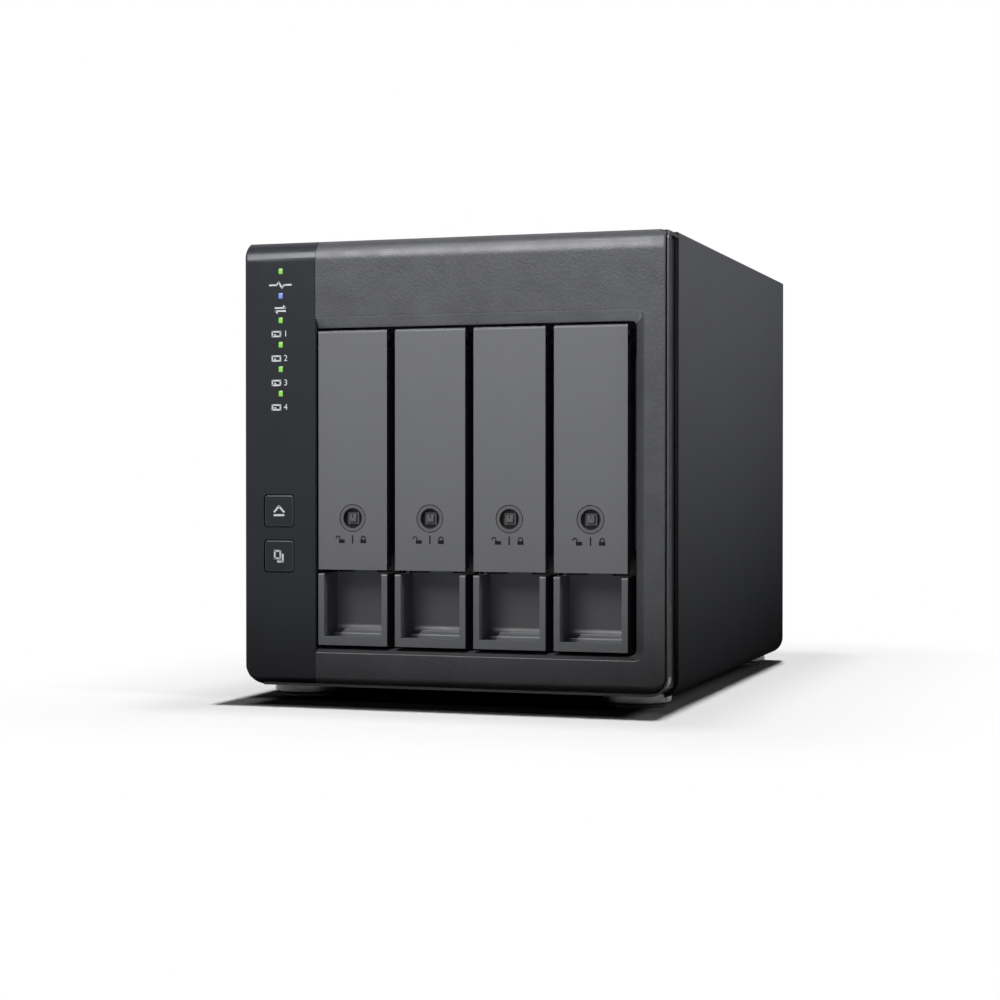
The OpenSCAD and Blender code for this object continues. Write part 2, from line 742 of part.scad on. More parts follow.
// Screws of the cover tabs
module cover_screws() {
  color("#a4a6a9") for (z = tab_z, s = [-1, 1])
    screw_y(s * (half_w - 6), z, rear_d[1] + 1, 2.8, 1.6, 1.6, 4);
}

// Hollow of the finger scoop, in depth and height, with a hollowed step at the back of its floor
module scoop_profile() {
  floor_z = scoop_lip - 1.2;
  step = [[-3.4, -1], [-3.4, 3.5], [-3.2, 4], [-2.7, 4.3], [-1.7, 4.7], [-0.8, 5.6],
    [0, 7.2], [1, 7.2], [1, -1]];
  difference() {
    union() {
      translate([-1, scoop_lip]) square([scoop_d + 1, ledge_z - scoop_lip]);
      translate([3.6, floor_z]) square([scoop_d - 3.6, 3]);
    }
    polygon([for (p = step) [scoop_d + p[0], floor_z + p[1]]]);
  }
}

// Tray: finger scoop, wall behind the lever, hinge ears, floor and two channel rails
module tray(k) {
  x = bay_x(k);
  back = [scoop_d, scoop_d + 2];
  run = [wall_d[1] - eps, tray_end];
  color("#34363a") difference() {
    union() {
      block([x - scoop_half, x + scoop_half], [lever_set - 0.1, back[1]], [tray_z0, scoop_top]);
      block([x - tray_half, x + tray_half], back, [tray_z0, ledge_z + 1.6]);
      block([x - tray_half, x + tray_half], [wall_d[0], back[1]], [ledge_z, ledge_z + 1.6]);
      block([x - tray_half, x + tray_half], wall_d, [ledge_z, tray_z1]);
      pair(x, [11.8, tray_half], [6.2, wall_d[0] + eps], [ledge_z, 129]);
      pair(x, [ear_in, tray_half], [pin_d, wall_d[0] + eps], [pin_z - 1.5, pin_z + 1.5]);
      for (s = [-1, 1]) rod_x(pin_d, pin_z, 1.5, [x + s * 11.8 - 1.4, x + s * 11.8 + 1.4]);
      block([x - tray_half, x + drive_x], run, [tray_z0, tray_z1]);
      for (z = [[drive_z0 - 1.8, drive_z0], [drive_z0 + drive_w + 0.1, drive_z0 + drive_w + 1.9]])
        block([x - tray_half, x + tray_half + 0.3], run, z);
      for (z = [[tray_z0, drive_z0], [drive_z0 + drive_w + 0.1, tray_z1]]) {
        block([x - tray_half, x - tray_half + 1.5], run, z);
        block([x + tray_half - 1.2, x + tray_half + 0.3], run, z);
      }
    }
    across([x - scoop_in, x + scoop_in]) scoop_profile();
    pair(x, [4.6, scoop_in], [scoop_d - 1, back[1] + 1], [scoop_top + 0.1, ledge_z]);
    block([x - 2.6, x + 2.6], [wall_d[0] - 1, wall_d[1] + 0.1], [lock_z - 5.6, lock_z + 5.6]);
    rod_x(pin_d, pin_z, pin_r, [x - 20, x + 20]);
    for (d = [28, 72, 116]) block([x - 20, x + drive_x + 0.1], [d, d + 34], [42, 112]);
    for (d = drive_holes, z = [-1, 1]) translate([0, 0, drive_z0 + drive_w / 2 + z * 47.625]) {
      rod_x(d, 0, 1.8, [x - 20, x + drive_x + 0.1]);
      rod_x(d, 0, 3, [x - 20, x - tray_half + 0.7]);
    }
  }
}
module tray_1() { tray(1); }
module tray_2() { tray(2); }
module tray_3() { tray(3); }
module tray_4() { tray(4); }

// Drive: cast base, stepped lid, spindle boss and connector notch
module drive(k) {
  x = bay_x(k) + drive_x;
  z = [drive_z0, drive_z0 + drive_w];
  t = drive_t;
  d = [drive_y, drive_end];
  mid = (z[0] + z[1]) / 2;
  color("#b4b6b9") difference() {
    union() {
      block([x, x + t - 2.4], d, z);
      block([x, x + t - 1.2], [d[0] + 3, d[1] - 24], [z[0] + 3, z[1] - 3]);
      rod_x(d[0] + 52, mid, 44, [x + 1, x + t - 0.6]);
      rod_x(d[0] + 52, mid, 13, [x + 1, x + t]);
      rod_x(d[1] - 38, z[0] + 22, 9, [x + 1, x + t]);
    }
    block([x + 1.6, x + 9.4], [d[1] - 4.2, d[1] + 1], [32, 71]);
    for (hd = drive_holes, s = [-1, 1]) rod_x(hd, mid + s * 47.625, 1.6, [x - 1, x + 5]);
    for (s = [z[0] - 1, z[1] - 4]) block([x - 1, x + 6], [d[0] - 1, d[0] + 4], [s, s + 5]);
  }
}
module drive_1() { drive(1); }
module drive_2() { drive(2); }
module drive_3() { drive(3); }
module drive_4() { drive(4); }

// Flat head screws of one drive
module drive_screws(k) {
  x = bay_x(k) - tray_half;
  mid = drive_z0 + drive_w / 2;
  color("#a4a6a9") for (d = drive_holes, s = [-1, 1]) {
    rod_x(d, mid + s * 47.625, 2.8, [x + 0.05, x + 0.7]);
    rod_x(d, mid + s * 47.625, 1.4, [x + 0.69, x + 5.2]);
  }
}
module drive_screws_1() { drive_screws(1); }
module drive_screws_2() { drive_screws(2); }
module drive_screws_3() { drive_screws(3); }
module drive_screws_4() { drive_screws(4); }

// Lever: face plate, side skirts, pull edge, hinge knuckle and lock barrel
module lever(k) {
  x = bay_x(k);
  h = lever_w / 2;
  d = lever_set;
  top = lever_z[1];
  color("#75777b") difference() {
    union() {
      block([x - h, x + h], [d, d + 2.2], lever_z);
      pair(x, [h - 1.4, h], [d + 2.1, d + 4.5], [lever_z[0] + 1, 127.5]);
      block([x - h + 1, x + h - 1], [d + 2.1, d + 3.7], [lever_z[0], lever_z[0] + 1.6]);
      pair(x, [4.4, 5.6], [d + 2.1, d + 3.9], [lock_z + 9, 129]);
      rod_x(pin_d, pin_z, 2.5, [x - 9.8, x + 9.8]);
      block([x - 9.8, x + 9.8], [d, pin_d], [pin_z - 4.4, top]);
      rod_y(x, lock_z, 7, [d + 2.1, d + 4.7]);
    }
    pair(x, [ear_in - 0.3, h + 1], [d + 0.7, d + 6], [pin_z - 4.1, top + 1]);
    rod_x(pin_d, pin_z, pin_r + 0.05, [x - 20, x + 20]);
    rod_y(x, lock_z, lock_r + lock_gap, [d - 1, d + 3]);
    rod_y(x, lock_z, 2.35, [d + 2.9, d + 6]);
    across([x - 20, x + 20]) difference() {
      translate([d - 1, top - 1]) square([2, 2]);
      translate([d + 1, top - 1]) circle(1);
    }
  }
}
module lever_1() { lever(1); }
module lever_2() { lever(2); }
module lever_3() { lever(3); }
module lever_4() { lever(4); }

// Hinge pin of a lever
module hinge_pin(k) {
  color("#c3c5c8") rod_x(pin_d, pin_z, pin_r, [bay_x(k) - 13, bay_x(k) + 13]);
}
module hinge_pin_1() { hinge_pin(1); }
module hinge_pin_2() { hinge_pin(2); }
module hinge_pin_3() { hinge_pin(3); }
module hinge_pin_4() { hinge_pin(4); }

// Lock core: round face with key socket, square boss, shaft and cam bar
module lock_core(k) {
  x = bay_x(k);
  d = lever_set + 0.05;
  color("#606266") {
    difference() {
      rod_y(x, lock_z, lock_r, [d, d + 2.85]);
      rod_y(x, lock_z, socket_r, [d - 1, d + 2]);
    }
    difference() {
      union() {
        block([x - boss[0], x + boss[0]], [d + 0.5, d + 2.1], [lock_z - boss[0], lock_z + boss[0]]);
        block([x - boss[1], x + boss[1]], [d + 1.2, d + 2.1], [lock_z - boss[1], lock_z + boss[1]]);
      }
      block([x - 0.3, x + 0.3], [d, d + 1], [lock_z + 0.3, lock_z + boss[0] + 1]);
    }
    rod_y(x, lock_z, 2.25, [d + 2.8, cam_d[0] + eps]);
    block([x - 2, x + 2], cam_d, [lock_z - 5, lock_z + 5]);
  }
}
module lock_core_1() { lock_core(1); }
module lock_core_2() { lock_core(2); }
module lock_core_3() { lock_core(3); }
module lock_core_4() { lock_core(4); }

outer_cover();
base_plate();
rubber_feet();
front_frame();
front_bezel();
indicator_panel();
green_light_pipes();
blue_light_pipe();
front_board();
eject_button();
copy_button();
drive_cage();
lower_guide();
upper_guide();
backplane_board();
drive_connectors();
main_board();
heat_sink();
rear_panel();
fan_grille();
fan_frame();
fan_bracket();
fan_stator();
fan_rotor();
fan_screws();
power_inlet();
data_socket();
mode_switch();
mode_slider_1();
mode_slider_2();
mode_slider_3();
power_button();
chassis_screws();
cover_screws();
tray_1();
tray_2();
tray_3();
tray_4();
drive_1();
drive_2();
drive_3();
drive_4();
drive_screws_1();
drive_screws_2();
drive_screws_3();
drive_screws_4();
lever_1();
lever_2();
lever_3();
lever_4();
hinge_pin_1();
hinge_pin_2();
hinge_pin_3();
hinge_pin_4();
lock_core_1();
lock_core_2();
lock_core_3();
lock_core_4();
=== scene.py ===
"""Looks of a four-bay desktop disk enclosure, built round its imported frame."""
import json
import logging
import math
from collections.abc import Callable, Iterable, Iterator
from contextlib import contextmanager
from dataclasses import dataclass, field, replace
from enum import Enum

import bmesh
import bpy
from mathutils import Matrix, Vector

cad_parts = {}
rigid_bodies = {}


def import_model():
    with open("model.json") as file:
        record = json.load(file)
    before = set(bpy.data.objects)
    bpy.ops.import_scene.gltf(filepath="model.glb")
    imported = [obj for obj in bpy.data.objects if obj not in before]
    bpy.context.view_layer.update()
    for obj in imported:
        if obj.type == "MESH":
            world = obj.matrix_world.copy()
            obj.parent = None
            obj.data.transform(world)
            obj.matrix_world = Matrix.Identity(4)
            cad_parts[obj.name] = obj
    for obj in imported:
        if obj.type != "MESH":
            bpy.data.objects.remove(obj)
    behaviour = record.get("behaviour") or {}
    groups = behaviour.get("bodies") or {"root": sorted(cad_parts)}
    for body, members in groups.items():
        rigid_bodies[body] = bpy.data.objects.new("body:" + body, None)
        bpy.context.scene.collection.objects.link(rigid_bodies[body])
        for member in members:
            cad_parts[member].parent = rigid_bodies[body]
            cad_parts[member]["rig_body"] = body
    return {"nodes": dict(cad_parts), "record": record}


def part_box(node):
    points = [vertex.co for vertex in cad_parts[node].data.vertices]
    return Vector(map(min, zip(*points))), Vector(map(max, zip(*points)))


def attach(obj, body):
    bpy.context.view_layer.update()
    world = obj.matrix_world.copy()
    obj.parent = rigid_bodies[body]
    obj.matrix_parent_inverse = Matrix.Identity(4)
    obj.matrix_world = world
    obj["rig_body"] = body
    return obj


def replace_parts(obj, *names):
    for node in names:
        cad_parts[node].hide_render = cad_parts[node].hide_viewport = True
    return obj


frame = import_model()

LOG = logging.getLogger("enclosure")
MM = 0.001
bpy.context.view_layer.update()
ROOT = "enclosure"
BAYS = range(1, 5)
Tone = tuple[float, float, float]


class Grain(Enum):
    """Surface structures that a finish can carry."""

    FINE = "fine moulded satin"
    LEATHER = "soft mottled grain"
    PEEL = "powder coat"
    BRUSHED = "drawn metal"
    SPANGLE = "galvanised sheet"
    BOARD = "circuit board with tracks"


class Graph:
    """Node tree of one material, with short calls to fill it."""

    def __init__(self, name: str) -> None:
        """Starts an empty node material.

        Args:
            name: Name of the material.
        """
        self.material = bpy.data.materials.new(name)
        self.material.use_nodes = True
        self.tree = self.material.node_tree
        self.tree.nodes.clear()

    def node(self, kind: str, inputs: dict[str, object] | None = None, **settings: object) -> bpy.types.Node:
        """Adds a node.

        Args:
            kind: Node type without its ShaderNode prefix.
            inputs: Values or sockets for the inputs, by name.
            settings: Properties of the node.

        Returns:
            The new node.
        """
        made = self.tree.nodes.new("ShaderNode" + kind)
        for key, value in settings.items():
            setattr(made, key, value)
        for key, value in (inputs or {}).items():
            socket = made.inputs[key]
            if isinstance(value, bpy.types.NodeSocket):
                self.tree.links.new(value, socket)
            else:
                socket.default_value = value
        return made

    def place(self, size: Iterable[float]) -> bpy.types.NodeSocket:
        """Object coordinates divided by a size per axis.

        Args:
            size: Length of one repeat along X, Y and Z, in metres.

        Returns:
            The scaled vector socket.
        """
        coords = self.node("TexCoord").outputs["Object"]
        scale = [1 / s for s in size]
        return self.node("Mapping", {"Vector": coords, "Scale": scale}).outputs[0]

    def noise(self, size: float | Iterable[float], detail: float = 2.0) -> bpy.types.NodeSocket:
        """Noise of about 0 to 1 with spots of that size in metres."""
        steps = (size,) * 3 if isinstance(size, float) else tuple(size)
        return self.node("TexNoise", {"Vector": self.place(steps), "Scale": 1.0, "Detail": detail}).outputs[0]

    def cells(self, size: float, feature: str = "F1") -> bpy.types.Node:
        """Cells of that size in metres."""
        return self.node("TexVoronoi", {"Vector": self.place((size,) * 3), "Scale": 1.0}, feature=feature)

    def span(self, value: bpy.types.NodeSocket, low: float, high: float) -> bpy.types.NodeSocket:
        """Maps the middle of a noise, 0.3 to 0.7, to a range."""
        ends = {"Value": value, "From Min": 0.3, "From Max": 0.7, "To Min": low, "To Max": high}
        return self.node("MapRange", ends).outputs[0]

    def blend(self, share: bpy.types.NodeSocket, low: Tone, high: Tone) -> bpy.types.NodeSocket:
        """Mixes two colours by a share.

        Args:
            share: Share of the second colour.
            low: First colour.
            high: Second colour.

        Returns:
            The mixed colour.
        """
        mix = self.node("Mix", data_type="RGBA")
        self.tree.links.new(share, mix.inputs[0])
        mix.inputs[6].default_value = (*low, 1)
        mix.inputs[7].default_value = (*high, 1)
        return mix.outputs[2]

    def mean(self, first: bpy.types.NodeSocket, second: bpy.types.NodeSocket) -> bpy.types.NodeSocket:
        """Mean of two values.

        Args:
            first: One value.
            second: The other value.

        Returns:
            Their mean.
        """
        total = self.node("Math", operation="ADD")
        self.tree.links.new(first, total.inputs[0])
        self.tree.links.new(second, total.inputs[1])
        half = self.node("Math", operation="MULTIPLY")
        half.inputs[1].default_value = 0.5
        self.tree.links.new(total.outputs[0], half.inputs[0])
        return half.outputs[0]

    def vector(self, operation: str, first: object, second: Tone = (0.0, 0.0, 0.0)) -> bpy.types.Node:
        """Vector calculation on a socket and a fixed vector.

        Args:
            operation: Blender's name of the calculation.
            first: Vector socket.
            second: Fixed vector.

        Returns:
            The node of the calculation.
        """
        made = self.node("VectorMath", operation=operation)
        self.tree.links.new(first, made.inputs[0])
        made.inputs[1].default_value = second
        return made

    def close(self, shader: bpy.types.Node) -> bpy.types.Material:
        """Wires the shader to the surface and returns the material."""
        self.node("OutputMaterial", {"Surface": shader.outputs[0]})
        return self.material


MATERIALS: dict[str, bpy.types.Material] = {}


@dataclass(frozen=True)
class Finish:
    """A surface finish: colour, gloss and grain."""

    name: str
    colour: Tone
    roughness: float
    metallic: float = 0.0
    specular: float = 0.25
    grain: Grain = Grain.FINE
    size: float = 0.25 * MM
    depth: float = 0.004 * MM
    mottle: float = 0.06
    cloud: float = 18 * MM
    coat: float = 0.0
    satin: float = 0.05

    def tone(self, change: float) -> Tone:
        """The colour made lighter or darker by a share."""
        return tuple(min(1.0, c * (1 + change)) for c in self.colour)

    def height(self, g: Graph) -> bpy.types.NodeSocket:
        """Height of the grain, from 0 to 1.

        Args:
            g: Graph to work on.

        Returns:
            The height.
        """
        if self.grain is Grain.LEATHER:
            return g.mean(g.cells(self.size, "SMOOTH_F1").outputs[0], g.noise(self.size * 0.55, 3.0))
        if self.grain is Grain.BRUSHED:
            return g.noise((self.size, self.size * 60, self.size), 3.0)
        if self.grain is Grain.BOARD:
            return g.node("TexBrick", {"Vector": g.place((self.size,) * 3), "Scale": 1.0}).outputs["Fac"]
        return g.noise(self.size, 4.0 if self.grain is Grain.PEEL else 2.0)

    def shade(self, g: Graph, height: bpy.types.NodeSocket) -> bpy.types.NodeSocket:
        """Share between the darker and the lighter tone.

        Args:
            g: Graph to work on.
            height: Height of the grain.

        Returns:
            The share of the lighter tone.
        """
        if self.grain is Grain.SPANGLE:
            return g.cells(self.size * 12).outputs["Color"]
        return g.span(g.mean(height, g.noise(self.cloud)), 0.0, 1.0)

    def material(self) -> bpy.types.Material:
        """The finish's material, made on first use.

        Returns:
            The material.
        """
        if self.name not in MATERIALS:
            g = Graph(self.name)
            height = self.height(g)
            bump = g.node("Bump", {"Height": height, "Distance": self.depth, "Strength": 1.0})
            colour = g.blend(self.shade(g, height), self.tone(-self.mottle), self.tone(self.mottle))
            low, high = self.roughness - self.satin, self.roughness + self.satin
            gloss = g.span(g.noise(self.cloud * 0.4, 3.0), low, high)
            surface = {"Base Color": colour, "Roughness": gloss, "Normal": bump.outputs[0]}
            fixed = {"Metallic": self.metallic, "Specular IOR Level": self.specular, "Coat Weight": self.coat}
            MATERIALS[self.name] = g.close(g.node("BsdfPrincipled", surface | fixed))
        return MATERIALS[self.name]


@dataclass(frozen=True)
class Glow(Finish):
    """A lit clear plastic."""

    light: Tone = (0.0, 0.0, 0.0)
    strength: float = 1.0

    def material(self) -> bpy.types.Material:
        """The lit material, brighter in the middle of its grain.

        Returns:
            The material.
        """
        if self.name not in MATERIALS:
            g = Graph(self.name)
            core = tuple(min(1.0, c * 1.15 + 0.04) for c in self.light)
            lamp = g.blend(g.span(g.noise(self.size), 0.0, 1.0), self.light, core)
            surface = {"Base Color": (*self.colour, 1), "Roughness": self.roughness, "Emission Color": lamp}
            surface["Emission Strength"] = self.strength
            MATERIALS[self.name] = g.close(g.node("BsdfPrincipled", surface))
        return MATERIALS[self.name]


# In order: name, colour, roughness, metallic, specular, grain, its size and depth, and the mottle
BEZEL = Finish(
    "bezel_grain", (0.071, 0.0728, 0.0798), 0.36, 0, 0.16, Grain.LEATHER, 0.75 * MM, 0.068 * MM, 0.2
)
# Lighter bezel for the slope over the levers: painted light standing in for light from below.
PAINTED_LIGHT_SLOPE = replace(BEZEL, name="bezel_slope_painted_light", colour=(0.19, 0.195, 0.212))
LEVER = Finish("lever_coat", (0.152, 0.155, 0.169), 0.46, 0, 0.1, Grain.FINE, 0.18 * MM, 0.003 * MM, 0.03)
STRIP = Finish(
    "strip_satin", (0.022, 0.024, 0.03), 0.24, 0, 0.13, Grain.FINE, 0.12 * MM, 0.001 * MM, 0.05, satin=0.02
)
# Lighter tone for the bevelled edges of the button caps: a painted highlight.
CAP_HIGHLIGHT = Finish("cap_painted_highlight", (0.05, 0.052, 0.057), 0.3, 0, 0.13, Grain.FINE, 0.12 * MM, 0.001 * MM, 0.05)
NECK = Finish("neck_plastic", (0.010, 0.0102, 0.0112), 0.5, 0, 0.04, Grain.FINE, 0.2 * MM, 0.004 * MM, 0.1)
# Lighter, glossier tone for the frame's front rim and the cover's folded edge: a painted highlight.
RIM_HIGHLIGHT = Finish("rim_painted_highlight", (0.062, 0.063, 0.066), 0.34, 0, 0.25, Grain.FINE, 0.2 * MM, 0.002 * MM, 0.05)
COVER = Finish(
    "cover_paint", (0.066, 0.0675, 0.0735), 0.62, 0, 0.0, Grain.PEEL, 0.35 * MM, 0.006 * MM, 0.03
)
CHASSIS = Finish(
    "chassis_paint", (0.045, 0.046, 0.049), 0.5, 0, 0.2, Grain.PEEL, 0.35 * MM, 0.008 * MM, 0.06
)
TRAY = Finish("tray_plastic", (0.09, 0.0935, 0.105), 0.5, 0, 0.26, Grain.FINE, 0.22 * MM, 0.004 * MM, 0.05)
LOCK = Finish("lock_plastic", (0.118, 0.12, 0.127), 0.42, 0, 0.15, Grain.FINE, 0.15 * MM, 0.002 * MM, 0.05)
# Darker tone for the lower step round the lock boss: painted shade in the recess.
LOCK_STEP_SHADE = Finish("lock_step_painted_shade", (0.055, 0.056, 0.06), 0.42, 0, 0.25, Grain.FINE, 0.15 * MM, 0.003 * MM, 0.08)
# Near-black for the key socket of each lock and the lower edge of the bezel's recess: painted shade.
PAINTED_SHADE = Finish(
    "painted_shade_black", (0.024, 0.0245, 0.027), 0.45, 0, 0.1, Grain.FINE, 0.15 * MM, 0.004 * MM, 0.1
)
RUBBER = Finish("foot_rubber", (0.05, 0.0503, 0.0515), 0.22, 0, 1.0, Grain.FINE, 0.2 * MM, 0.002 * MM, 0.1)
PALE_PRINT = Finish("pale_print", (0.66, 0.67, 0.7), 0.5, 0, 0.2, Grain.FINE, 0.1 * MM, 0.001 * MM, 0.05)
DARK_PRINT = Finish(
    "dark_print", (0.013, 0.0132, 0.014), 0.5, 0, 0.04, Grain.FINE, 0.1 * MM, 0.001 * MM, 0.08
)
BLACK = Finish("black_plastic", (0.018, 0.018, 0.019), 0.45, 0, 0.3, Grain.FINE, 0.25 * MM, 0.006 * MM, 0.1)
CAGE = Finish("cage_steel", (0.03, 0.031, 0.033), 0.5, 0, 0.15, Grain.PEEL, 0.4 * MM, 0.006 * MM, 0.1)
SCREW = Finish("screw_steel", (0.4, 0.4, 0.41), 0.32, 1.0, 0.5, Grain.BRUSHED, 0.1 * MM, 0.002 * MM, 0.08)
PLATED = Finish(
    "socket_steel", (0.55, 0.55, 0.56), 0.28, 1.0, 0.5, Grain.BRUSHED, 0.08 * MM, 0.002 * MM, 0.06
)
CASTING = Finish("drive_casting", (0.4, 0.405, 0.41), 0.42, 0.9, 0.5, Grain.PEEL, 0.6 * MM, 0.012 * MM, 0.1)
SINK = Finish(
    "sink_aluminium", (0.45, 0.46, 0.47), 0.36, 1.0, 0.5, Grain.BRUSHED, 0.12 * MM, 0.003 * MM, 0.08
)
BOARD = Finish("board_green", (0.012, 0.075, 0.034), 0.35, 0, 0.4, Grain.BOARD, 3 * MM, 0.01 * MM, 0.3)
COPPER = Finish("coil_copper", (0.5, 0.23, 0.09), 0.35, 0.9, 0.5, Grain.BRUSHED, 0.2 * MM, 0.02 * MM, 0.15)
RED = Finish("switch_red", (0.3, 0.02, 0.022), 0.45, 0, 0.3, Grain.FINE, 0.15 * MM, 0.003 * MM, 0.08)
WHITE = Finish("slider_white", (0.66, 0.65, 0.6), 0.45, 0, 0.3, Grain.FINE, 0.15 * MM, 0.003 * MM, 0.06)
GREEN = Glow("green_light", (0.02, 0.06, 0.01), 0.3, size=1.2 * MM, light=(0.17, 0.52, 0.04), strength=1.0)
BLUE = Glow("blue_light", (0.01, 0.03, 0.08), 0.3, size=1.2 * MM, light=(0.12, 0.21, 0.55), strength=1.0)


class Bench:
    """Work steps of Blender's own tools on one object at a time."""

    @staticmethod
    def pick(*things: bpy.types.Object) -> bpy.types.Object:
        """Selects only these objects, the first one active.

        Args:
            things: Objects to select.

        Returns:
            The first object.
        """
        bpy.ops.object.select_all(action="DESELECT")
        for thing in things:
            thing.select_set(True)
        bpy.context.view_layer.objects.active = things[0]
        return things[0]

    @staticmethod
    @contextmanager
    def edit(thing: bpy.types.Object) -> Iterator[bmesh.types.BMesh]:
        """Edit mode on an object, with nothing selected at the start.

        Args:
            thing: Mesh object to edit.

        Returns:
            A context whose value is the mesh in edit mode.
        """
        Bench.pick(thing)
        bpy.ops.object.mode_set(mode="EDIT")
        bpy.ops.mesh.select_mode(type="EDGE")
        bpy.ops.mesh.select_all(action="DESELECT")
        yield bmesh.from_edit_mesh(thing.data)
        bpy.ops.object.mode_set(mode="OBJECT")

    @staticmethod
    def select(mesh: bmesh.types.BMesh, parts: Iterable[object]) -> int:
        """Selects parts of a mesh in edit mode.

        Args:
            mesh: Mesh in edit mode.
            parts: Corners, edges or faces to select.

        Returns:
            How many there are.
        """
        chosen = list(parts)
        for part in chosen:
            part.select_set(True)
        mesh.select_flush_mode()
        return len(chosen)

    @staticmethod
    def modify(thing: bpy.types.Object, kind: str, **settings: object) -> None:
        """Adds a modifier and applies it.

        Args:
            thing: Object to change.
            kind: Blender's type of the modifier.
            settings: Properties of the modifier.
        """
        Bench.pick(thing)
        bpy.ops.object.modifier_add(type=kind)
        modifier = thing.modifiers[-1]
        for key, value in settings.items():
            setattr(modifier, key, value)
        bpy.ops.object.modifier_apply(modifier=modifier.name)

    @staticmethod
    def join(things: list[bpy.types.Object]) -> bpy.types.Object:
        """Joins objects into the first one.

        Args:
            things: Objects to join.

        Returns:
            The joined object.
        """
        Bench.pick(*things)
        if len(things) > 1:
            bpy.ops.object.join()
        return things[0]

    @staticmethod
    def settle(thing: bpy.types.Object) -> bpy.types.Object:
        """Puts an object's place, turn and scale into its mesh.

        Args:
            thing: Object to settle.

        Returns:
            The same object.
        """
        Bench.pick(thing)
        bpy.ops.object.transform_apply(location=True, rotation=True, scale=True)
        return thing

    @staticmethod
    def smooth(thing: bpy.types.Object, angle: float) -> None:
        """Smooth shading, with flat faces kept flat.

        Args:
            thing: Object to shade.
            angle: Largest angle between faces, in degrees.
        """
        Bench.pick(thing)
        bpy.ops.object.shade_smooth_by_angle(angle=math.radians(angle))
        Bench.modify(thing, "WEIGHTED_NORMAL", keep_sharp=True, weight=80)

    @staticmethod
    def copy_to(thing: bpy.types.Object, shift: Vector) -> bpy.types.Object:
        """Copies an object with its mesh.

        Args:
            thing: Object to copy.
            shift: Way from the object to its copy.

        Returns:
            The copy.
        """
        Bench.pick(thing)
        bpy.ops.object.duplicate(linked=False)
        twin = bpy.context.active_object
        bpy.ops.transform.translate(value=shift)
        return Bench.settle(twin)

    @staticmethod
    def mount(
        thing: bpy.types.Object, name: str, body: str, finish: Finish, slot: str = ""
    ) -> bpy.types.Object:
        """Names a finished piece, gives it its finish and lets it ride on a body.

        Args:
            thing: Finished mesh object, with its place in its mesh.
            name: Name of the piece.
            body: Body that carries it.
            finish: Finish of its surface.
            slot: Material slot of the record, if it takes one; not used.

        Returns:
            The piece.
        """
        thing.name = thing.data.name = name
        thing.data.materials.clear()
        thing.data.materials.append(finish.material())
        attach(thing, body)
        LOG.info("%s rides on %s in %s", name, body, finish.name)
        return thing


def body_of(node: str) -> str:
    """Name of the body that carries a node."""
    return frame["nodes"][node]["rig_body"]


def slot_of(node: str) -> str:
    """Material slot of a node in the record."""
    return next(s["material_slot"] for s in frame["record"]["subparts"] if s["node"] == node)


def middle(node: str) -> Vector:
    """Middle of a node's box at rest."""
    low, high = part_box(node)
    return (low + high) / 2


def dress(finish: Finish, *nodes: str) -> None:
    """Gives nodes that are shown as they are their finish.

    Args:
        finish: Finish of their surface.
        nodes: Names of the nodes.
    """
    for node in nodes:
        mesh = frame["nodes"][node].data
        mesh.materials.clear()
        mesh.materials.append(finish.material())
        LOG.info("%s shown in %s", node, finish.name)


Where = Callable[[Vector], bool]


@dataclass(frozen=True)
class Break:
    """How sharp edges are broken: width, steps, least angle, place and least length in widths."""

    width: float = 0.3 * MM
    steps: int = 2
    sharp: float = 40.0
    where: Where | None = None
    least: float = 3.0

    def wants(self, edge: bmesh.types.BMEdge) -> bool:
        """Whether an edge is sharp, outward, long enough and in the right place.

        Args:
            edge: Edge to test.

        Returns:
            Whether it is broken.
        """
        if not edge.is_manifold or edge.calc_length() < self.least * self.width:
            return False
        if edge.calc_face_angle_signed() < math.radians(self.sharp):
            return False
        return self.where is None or self.where((edge.verts[0].co + edge.verts[1].co) / 2)


@dataclass(frozen=True)
class Accent:
    """A second finish on the faces whose middle and normal pass a test."""

    finish: Finish
    takes: Callable[[Vector, Vector], bool]


@dataclass
class Skin:
    """Finer copy of a node: merged, with its sharp edges broken as on a moulding or a pressing."""

    node: str
    finish: Finish
    breaks: tuple[Break, ...] = (Break(),)
    smooth: float = 30.0
    accents: tuple[Accent, ...] = ()

    def build(self) -> bpy.types.Object:
        """Makes the copy and lets it stand for its node.

        Returns:
            The finished piece.
        """
        mesh = frame["nodes"][self.node].data.copy()
        thing = bpy.data.objects.new(self.node + "_skin", mesh)
        bpy.context.scene.collection.objects.link(thing)
        with Bench.edit(thing):
            bpy.ops.mesh.select_all(action="SELECT")
            bpy.ops.mesh.customdata_custom_splitnormals_clear()
            bpy.ops.mesh.remove_doubles(threshold=0.002 * MM)
            bpy.ops.mesh.dissolve_limited(angle_limit=math.radians(0.3))
        for step in self.breaks:
            with Bench.edit(thing) as edited:
                if Bench.select(edited, filter(step.wants, edited.edges)):
                    bpy.ops.mesh.bevel(
                        offset=step.width, segments=step.steps, affect="EDGES", clamp_overlap=True
                    )
        self.refine(thing)
        Bench.smooth(thing, self.smooth)
        Bench.mount(thing, self.node + "_skin", body_of(self.node), self.finish, slot_of(self.node))
        for place, accent in enumerate(self.accents, 1):
            thing.data.materials.append(accent.finish.material())
            for face in thing.data.polygons:
                if accent.takes(face.center, face.normal):
                    face.material_index = place
        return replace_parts(thing, self.node)

    def refine(self, thing: bpy.types.Object) -> None:
        """Further work on the copy before it is smoothed; none for a plain skin."""


